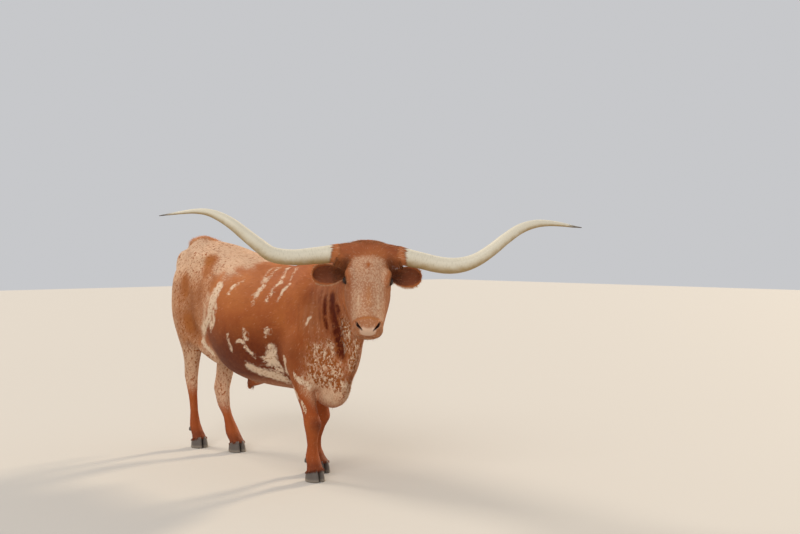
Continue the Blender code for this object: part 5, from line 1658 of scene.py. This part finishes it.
# %% Fetlocks and the hair over the hooves
PASTERN_RADIUS = 0.052
for name, foot in FEET.items():
    behind, high, half = FETLOCK[name.split("_")[0]]
    back = [body_point(foot[0], foot[1] + behind + half, high + h) for h in (0.040, 0.010, -0.010)]
    places = near_line(back, 260, 0.012)
    ways = np.tile([0.0, 0.30, -1.0], (len(places), 1))
    count = 820
    turn = RNG.uniform(0, math.tau, count)
    y = foot[1] - np.cos(turn) * PASTERN_RADIUS + 0.006
    z = CLAW_HEIGHT - CLAW_SLOPE * (y - foot[1] + CLAW_LENGTH / 2) + RNG.uniform(0.002, 0.012, count)
    ring = np.stack([foot[0] + np.sin(turn) * PASTERN_RADIUS, y, z], axis=1) + SHIFT
    out = np.stack([np.sin(turn) * 0.75, -np.cos(turn) * 0.75, -np.ones(count)], axis=1)
    long_hair("foot_hair_" + name, np.vstack([places, ring]), np.vstack([ways, out]), 0.0170, 0.0019,
              rise=0.16, droop=0.25)

# %% Lashes and whiskers
LASHES = ((54, 0.92, LID_UP, 2.3, 1, 0.85, 0.25, 0.35),  # upper lid: count, reach, lid, curve, side, way
          (24, 0.80, LID_LOW, 2.0, -1, 0.90, 0.35, 0.30))   # lower lid
for left, word in SIDES:
    centre, look, along, over = eye_frame(left)
    roots, ways = [], []
    for count, reach, lid, curve, side, forward, upward, sideways in LASHES:
        for u in np.linspace(-reach, reach, count):
            v = side * (lid * (1 - abs(u) ** curve) + 0.0008)
            roots.append(centre + along * (u * LID_HALF_LENGTH) + over * v + look * 0.021)
            ways.append(look * forward + over * (side * upward) + along * u * sideways)
    long_hair("lashes_" + word, np.array(roots), np.array(ways), 0.0130, 0.0007, droop=0.28, spread=0.07)
count = 120
aside = RNG.uniform(-0.070, 0.070, count)
places = np.array([head_point(0.560, o, a) for o, a in zip(RNG.uniform(-0.150, -0.095, count), aside)])
long_hair("whiskers", places, DOWN * 0.9 + LEFT * aside[:, None] * 8 - OUT * 0.3, 0.0130, 0.0005, rise=0.3,
          droop=0.2)
print("longer hair:", {o.name: len(o.data.polygons) for o in long_pieces})


# %% [markdown]
# ## Colours and finishes
#
# One node group works out the coat's colour for the skin and for every tuft, from the stored markings and
# from noise at the tuft's root, so that a tuft has one colour, as a lock of hair has. Image textures could do
# it too, but nodes stay sharp at any distance. The shader stays in each material, where an export reads it.

# %% Helpers for nodes
def group_of(name, inputs, outputs):
    group = bpy.data.node_groups.new(name, "ShaderNodeTree")
    for label, kind in inputs:
        group.interface.new_socket(label, in_out="INPUT", socket_type="NodeSocket" + kind)
    for label, kind in outputs:
        group.interface.new_socket(label, in_out="OUTPUT", socket_type="NodeSocket" + kind)
    return group, group.nodes.new("NodeGroupInput"), group.nodes.new("NodeGroupOutput")


class Wiring:
    """Adds nodes to a tree and links them, so that each effect reads as one line."""

    def __init__(self, tree):
        self.tree = tree

    def node(self, kind, **settings):
        made = self.tree.nodes.new(kind)
        for key, value in settings.items():
            setattr(made, key, value)
        return made

    def feed(self, socket, value):
        if isinstance(value, bpy.types.NodeSocket):
            self.tree.links.new(value, socket)
        elif isinstance(value, (tuple, list)) and len(value) == 3 and socket.type == "RGBA":
            socket.default_value = (*value, 1)
        else:
            socket.default_value = value

    def noise(self, vector, scale, detail=2.0, roughness=0.5):
        made = self.node("ShaderNodeTexNoise")
        self.feed(made.inputs["Vector"], vector)
        made.inputs["Scale"].default_value = scale
        made.inputs["Detail"].default_value = detail
        made.inputs["Roughness"].default_value = roughness
        return made.outputs["Fac"]

    def stretched(self, vector, scale, move=(0, 0, 0)):
        made = self.node("ShaderNodeMapping")
        self.feed(made.inputs["Vector"], vector)
        made.inputs["Scale"].default_value = scale
        made.inputs["Location"].default_value = move
        return made.outputs["Vector"]

    def step(self, value, low, high, to_low=0.0, to_high=1.0):
        made = self.node("ShaderNodeMapRange", interpolation_type="SMOOTHSTEP")
        for label, given in (("Value", value), ("From Min", low), ("From Max", high), ("To Min", to_low),
                             ("To Max", to_high)):
            self.feed(made.inputs[label], given)
        return made.outputs["Result"]

    def maths(self, operation, a, b, clamp=False):
        made = self.node("ShaderNodeMath", operation=operation, use_clamp=clamp)
        self.feed(made.inputs[0], a)
        self.feed(made.inputs[1], b)
        return made.outputs["Value"]

    def plus(self, a, b, clamp=False):
        return self.maths("ADD", a, b, clamp)

    def times(self, a, b, clamp=False):
        return self.maths("MULTIPLY", a, b, clamp)

    def swing(self, value, size):
        """A value from 0 to 1 as a swing of this size to both sides of 0."""
        return self.times(self.maths("SUBTRACT", value, 0.5), size)

    def mix(self, share, a, b, kind="MIX"):
        made = self.node("ShaderNodeMix", data_type="RGBA", blend_type=kind)
        self.feed(made.inputs["Factor"], share)
        self.feed(made.inputs["A"], a)
        self.feed(made.inputs["B"], b)
        return made.outputs["Result"]

    def split(self, colour):
        made = self.node("ShaderNodeSeparateColor")
        self.feed(made.inputs["Color"], colour)
        return made.outputs

    def stored(self, name, part="Vector"):
        return self.node("ShaderNodeAttribute", attribute_name=name).outputs[part]

    def here(self):
        return self.node("ShaderNodeTexCoord").outputs["Object"]

    def relief(self, shader, height, distance, strength=1.0):
        """Bump from a height, on the shader's Normal."""
        made = self.node("ShaderNodeBump")
        made.inputs["Distance"].default_value = distance
        made.inputs["Strength"].default_value = strength
        self.feed(made.inputs["Height"], height)
        self.feed(shader.inputs["Normal"], made.outputs["Normal"])


def new_material(name, **plain):
    """A material, its wiring and its shader. plain holds values that are the same all over."""
    made = bpy.data.materials.new(name)
    made.use_nodes = True
    shader = made.node_tree.nodes["Principled BSDF"]
    for label, value in plain.items():
        shader.inputs[label.replace("_", " ")].default_value = value
    return made, Wiring(made.node_tree), shader


# %% The coat's colour as a group
# pit is near black: painted shade in the nostrils' pits, and the lids' own dark edges.
COAT_COLOURS = {"red": (0.325, 0.062, 0.009), "gold": (0.480, 0.160, 0.034), "dark": (0.092, 0.010, 0.001),
                "pale": (0.660, 0.440, 0.290), "white": (0.740, 0.560, 0.400), "fleck": (0.300, 0.085, 0.018),
                "bare": (0.740, 0.500, 0.360), "pit": (0.024, 0.006, 0.004)}

coat_group, given, result = group_of(
    "coat_colour", [("Place", "Vector"), ("Mark", "Color"), ("Tone", "Color"), ("Chance", "Float")],
    [("Color", "Color"), ("Roughness", "Float"), ("Height", "Float")])
w = Wiring(coat_group)
place, chance = given.outputs["Place"], given.outputs["Chance"]
white, roan, dark = w.split(given.outputs["Mark"])
gold, bare, flecks = w.split(given.outputs["Tone"])

broad = w.noise(place, 6.0, 3.0)
edges = w.swing(w.noise(w.stretched(place, (1.0, 0.75, 0.65)), 58.0, 4.0, 0.62), 1.1)
specks = w.plus(w.swing(w.noise(w.stretched(place, (1.0, 0.8, 0.8)), 125.0, 2.0, 0.55), 2.4), 0.5)
spots = w.noise(w.stretched(place, (1, 1, 1), move=(3.1, 1.7, 5.3)), 62.0, 2.0, 0.5)

gold_share = w.plus(gold, w.swing(broad, 0.9), clamp=True)
colour = w.mix(gold_share, COAT_COLOURS["red"], COAT_COLOURS["gold"])
dark_share = w.plus(dark, w.times(w.times(edges, dark), 0.8), clamp=True)
colour = w.mix(dark_share, colour, COAT_COLOURS["dark"])
needed = w.maths("SUBTRACT", 1.0, roan)
roan_specks = w.step(w.plus(specks, w.swing(chance, 0.5)), w.maths("SUBTRACT", needed, 0.10),
                     w.plus(needed, 0.16))
roan_share = w.times(w.plus(w.times(roan_specks, 0.40), w.times(roan, 0.62)), w.step(roan, 0.0, 0.10),
                     clamp=True)
colour = w.mix(roan_share, colour, COAT_COLOURS["pale"])
white_share = w.step(w.plus(white, w.times(edges, 0.95)), 0.36, 0.66, 0.0, 0.92)
colour = w.mix(white_share, colour, COAT_COLOURS["white"])
fleck_share = w.times(w.step(w.plus(spots, w.swing(flecks, 0.30)), 0.52, 0.58), w.step(flecks, 0.04, 0.25))
colour = w.mix(fleck_share, colour, COAT_COLOURS["fleck"])
colour = w.mix(bare, colour, w.mix(dark, COAT_COLOURS["bare"], COAT_COLOURS["pit"]))

# %% The coat's brightness, wetness and relief
bright = w.plus(w.times(chance, 0.26), 0.87)
bright = w.times(bright, w.plus(w.times(broad, 0.30), 0.85))
shade = w.node("ShaderNodeCombineColor")
for socket in shade.inputs:
    w.feed(socket, bright)
w.feed(result.inputs["Color"], w.mix(1.0, colour, shade.outputs["Color"], "MULTIPLY"))
wet = w.times(bare, w.maths("SUBTRACT", 1.0, dark))
w.feed(result.inputs["Roughness"], w.step(wet, 0.2, 0.9, 0.62, 0.34))

strokes_back = w.noise(w.stretched(place, (1.0, 0.10, 0.8)), 620.0, 2.0, 0.6)
strokes_down = w.noise(w.stretched(place, (1.0, 0.8, 0.10)), 620.0, 2.0, 0.6)
pores = w.node("ShaderNodeTexVoronoi", feature="SMOOTH_F1")
w.feed(pores.inputs["Vector"], place)
pores.inputs["Scale"].default_value = 330.0
grain = w.times(pores.outputs["Distance"], w.times(wet, 1.6))
coarse = w.noise(place, 70.0, 3.0)
height = w.plus(w.times(w.plus(strokes_back, strokes_down), 0.5), w.plus(grain, w.times(coarse, 0.7)))
w.feed(result.inputs["Height"], height)


# %% The skin's and the hair's materials
def coat_material(name, from_root, sheen):
    """The coat's colour on a shader. A hair takes its place from its root, the skin from where it is."""
    made, w, shader = new_material(name, Specular_IOR_Level=0.12, Sheen_Weight=sheen, Sheen_Roughness=0.40,
                                   Sheen_Tint=(1.0, 0.62, 0.36, 1))
    coat = w.node("ShaderNodeGroup")
    coat.node_tree = coat_group
    w.feed(coat.inputs["Mark"], w.stored("mark", "Color"))
    w.feed(coat.inputs["Tone"], w.stored("tone", "Color"))
    if from_root:
        w.feed(coat.inputs["Place"], w.stored("root"))
        w.feed(coat.inputs["Chance"], w.stored("chance", "Fac"))
    else:
        w.feed(coat.inputs["Place"], w.here())
        coat.inputs["Chance"].default_value = 0.35
        w.relief(shader, coat.outputs["Height"], 0.0012, 0.9)
    w.feed(shader.inputs["Base Color"], coat.outputs["Color"])
    w.feed(shader.inputs["Roughness"], coat.outputs["Roughness"])
    return made


skin.data.materials.append(coat_material("skin_under_hair", False, 0.03))
hair_finish = coat_material("short_hair", True, 0.05)
for obj in coats + long_pieces:
    obj.data.materials.append(hair_finish)
print("coat finishes made")


# %% [markdown]
# ## Horn, hoof, eye and switch
#
# Horn is warm ivory on top, with painted shade along its underside, finely ringed by the head and dark at the
# tip.
# Hooves are the same stuff in grey. The eye is nearly black, with a brown iris that shows only where light
# reaches it, under a clear wet coat. One recipe serves horn and hoof, because both are keratin.

# %% Horn finish
def keratin(name, colours, rings_at, roughness, bump):
    """A material of horn: colours run from the body of it to its stained streaks, the painted shade of its
    underside, its tip and its ring lines.
    """
    made, w, shader = new_material(name, Specular_IOR_Level=0.45)
    grown = w.stored("grown")
    split = w.node("ShaderNodeSeparateXYZ")
    w.feed(split.inputs["Vector"], grown)
    share, _, under = split.outputs
    main, stain_and_shade, tip, line = colours
    mottled = w.noise(w.here(), 28.0, 4.0, 0.6)
    streaks = w.noise(w.stretched(grown, (3.0, 6.0, 30.0)), 4.0, 3.0, 0.6)
    rings = w.noise(w.stretched(grown, (0.0, 1.0, 0.02)), 210.0, 3.0, 0.7)
    # Towards the second colour where a horn faces down, which is painted shade of its underside; on a hoof
    # this is its lowest rim.
    colour = w.mix(w.step(w.plus(under, w.swing(mottled, 0.35)), 0.46, 0.96), main, stain_and_shade)
    colour = w.mix(w.times(w.step(streaks, 0.48, 0.80), 0.16), colour, stain_and_shade)
    ring_share = w.times(w.step(rings, 0.50, 0.66), w.step(share, rings_at, rings_at + 0.25, 0.34, 0.0))
    colour = w.mix(ring_share, colour, line)
    colour = w.mix(w.step(w.plus(share, w.swing(mottled, 0.10)), 0.90, 0.985), colour, tip)
    height = w.plus(w.times(rings, w.step(share, 0.0, 0.7, 1.0, 0.15)), w.times(streaks, 0.6))
    w.relief(shader, height, bump, 0.8)
    w.feed(shader.inputs["Base Color"], colour)
    w.feed(shader.inputs["Roughness"], w.step(mottled, 0.3, 0.7, roughness - 0.07, roughness + 0.09))
    return made


# The second colour serves the horn's stained streaks and the painted shade of its underside.
horn_finish = keratin("ivory_horn", [(0.650, 0.600, 0.480), (0.360, 0.240, 0.090), (0.075, 0.058, 0.050),
                                     (0.330, 0.280, 0.200)], 0.30, 0.40, 0.0006)
hoof_finish = keratin("grey_hoof", [(0.105, 0.085, 0.072), (0.200, 0.165, 0.130), (0.075, 0.055, 0.045),
                                    (0.060, 0.048, 0.042)], 1.2, 0.55, 0.0003)
for obj in horns.values():
    obj.data.materials.append(horn_finish)
for obj in hooves.values():
    height = points_of(obj)[:, 2]
    store(obj, "grown", np.stack([0 * height, height, 1 - step_up(height, 0.0, 0.05)], axis=1))
    obj.data.materials.clear()
    obj.data.materials.append(hoof_finish)

# %% Eye finish
eye_finish, w, shader = new_material("dark_eye", Roughness=0.14, Specular_IOR_Level=0.20, Coat_IOR=1.33,
                                     Coat_Weight=0.7, Coat_Roughness=0.03)
gaze = w.stored("gaze")


def off_centre(size):
    """How far a place on the ball is from the middle of its front, in an oval of this size."""
    made = w.node("ShaderNodeVectorMath", operation="LENGTH")
    w.feed(made.inputs[0], w.stretched(gaze, size))
    return made.outputs["Value"]


fibres = w.noise(gaze, 9.0, 4.0, 0.7)
iris_colour = w.mix(fibres, (0.018, 0.007, 0.003), (0.055, 0.022, 0.008))
colour = w.mix(w.step(off_centre((1.15, 1.25, 0.0)), 0.90, 1.02), iris_colour, (0.210, 0.150, 0.120))
colour = w.mix(w.step(off_centre((1.9, 3.9, 0.0)), 0.92, 1.06), (0.003, 0.003, 0.004), colour)
w.feed(shader.inputs["Base Color"], colour)
for obj in eyes.values():
    obj.data.materials.append(eye_finish)

# %% Switch finish
switch_finish, w, shader = new_material("switch_hair", Roughness=0.55)
place = w.here()
strands = w.noise(w.stretched(place, (1.0, 1.0, 0.03)), 260.0, 3.0, 0.6)
pale_strands = w.step(w.noise(w.stretched(place, (1, 1, 0.05)), 120.0, 2.0), 0.56, 0.66)
colour = w.mix(w.step(strands, 0.38, 0.62), (0.150, 0.045, 0.018), (0.400, 0.150, 0.055))
w.feed(shader.inputs["Base Color"], w.mix(pale_strands, colour, (0.600, 0.430, 0.290)))
w.relief(shader, strands, 0.0010)
switch.data.materials.clear()
switch.data.materials.append(switch_finish)


# %% [markdown]
# ## Floor, light and camera
#
# The floor is plain and pale. One broad soft lamp lights the animal from the camera's left, two warmer ones
# from behind edge the coat with light, and an even pale room fills the shade. Lamps that shine along one way
# light a large animal evenly from end to end. The camera looks from where the photograph was taken.

# %% Floor and room
deselect()
bpy.ops.mesh.primitive_plane_add(size=60, location=(0, 0, -0.0005))
floor = bpy.context.object
floor.name = "floor"
floor.data.materials.append(new_material("floor_paint", Base_Color=(0.50, 0.48, 0.45, 1), Roughness=0.9)[0])

world = bpy.data.worlds.new("soft_room")
bpy.context.scene.world = world
world.use_nodes = True
room_light = world.node_tree.nodes["Background"].inputs
room_light["Color"].default_value = (0.92, 0.93, 0.96, 1)
room_light["Strength"].default_value = 0.62

# %% Lamps
LAMPS = [  # name, the way it shines, strength, spread in degrees, colour
    ("key_lamp", (0.90, 0.55, -0.75), 1.25, 30, (1.0, 0.96, 0.90)),
    ("warm_back_lamp", (-0.95, -0.15, -0.42), 2.60, 9, (1.0, 0.80, 0.55)),
    ("back_lamp", (0.25, -0.90, -0.75), 1.70, 20, (1.0, 0.88, 0.72)),
]
for name, way, strength, spread, tint in LAMPS:
    lamp_data = bpy.data.lights.new(name, "SUN")
    lamp_data.energy = strength
    lamp_data.angle = math.radians(spread)
    lamp_data.color = tint
    lamp = new_object(name, lamp_data)
    lamp.rotation_euler = Vector(way).to_track_quat("-Z", "Y").to_euler()
print("lamps:", len(LAMPS))

# %% Camera
CAMERA_PLACE = (-3.716 + SHIFT[0], -6.18 + SHIFT[1], 1.39)
CAMERA_TURN = (math.radians(89.04), 0, math.radians(-41.16))
bpy.context.scene.view_settings.view_transform = "Standard"
camera_data = bpy.data.cameras.new("photo_camera")
camera_data.lens = 45.7
camera_data.sensor_width = 36
camera = new_object("photo_camera", camera_data)
camera.location = CAMERA_PLACE
camera.rotation_euler = CAMERA_TURN
bpy.context.scene.camera = camera
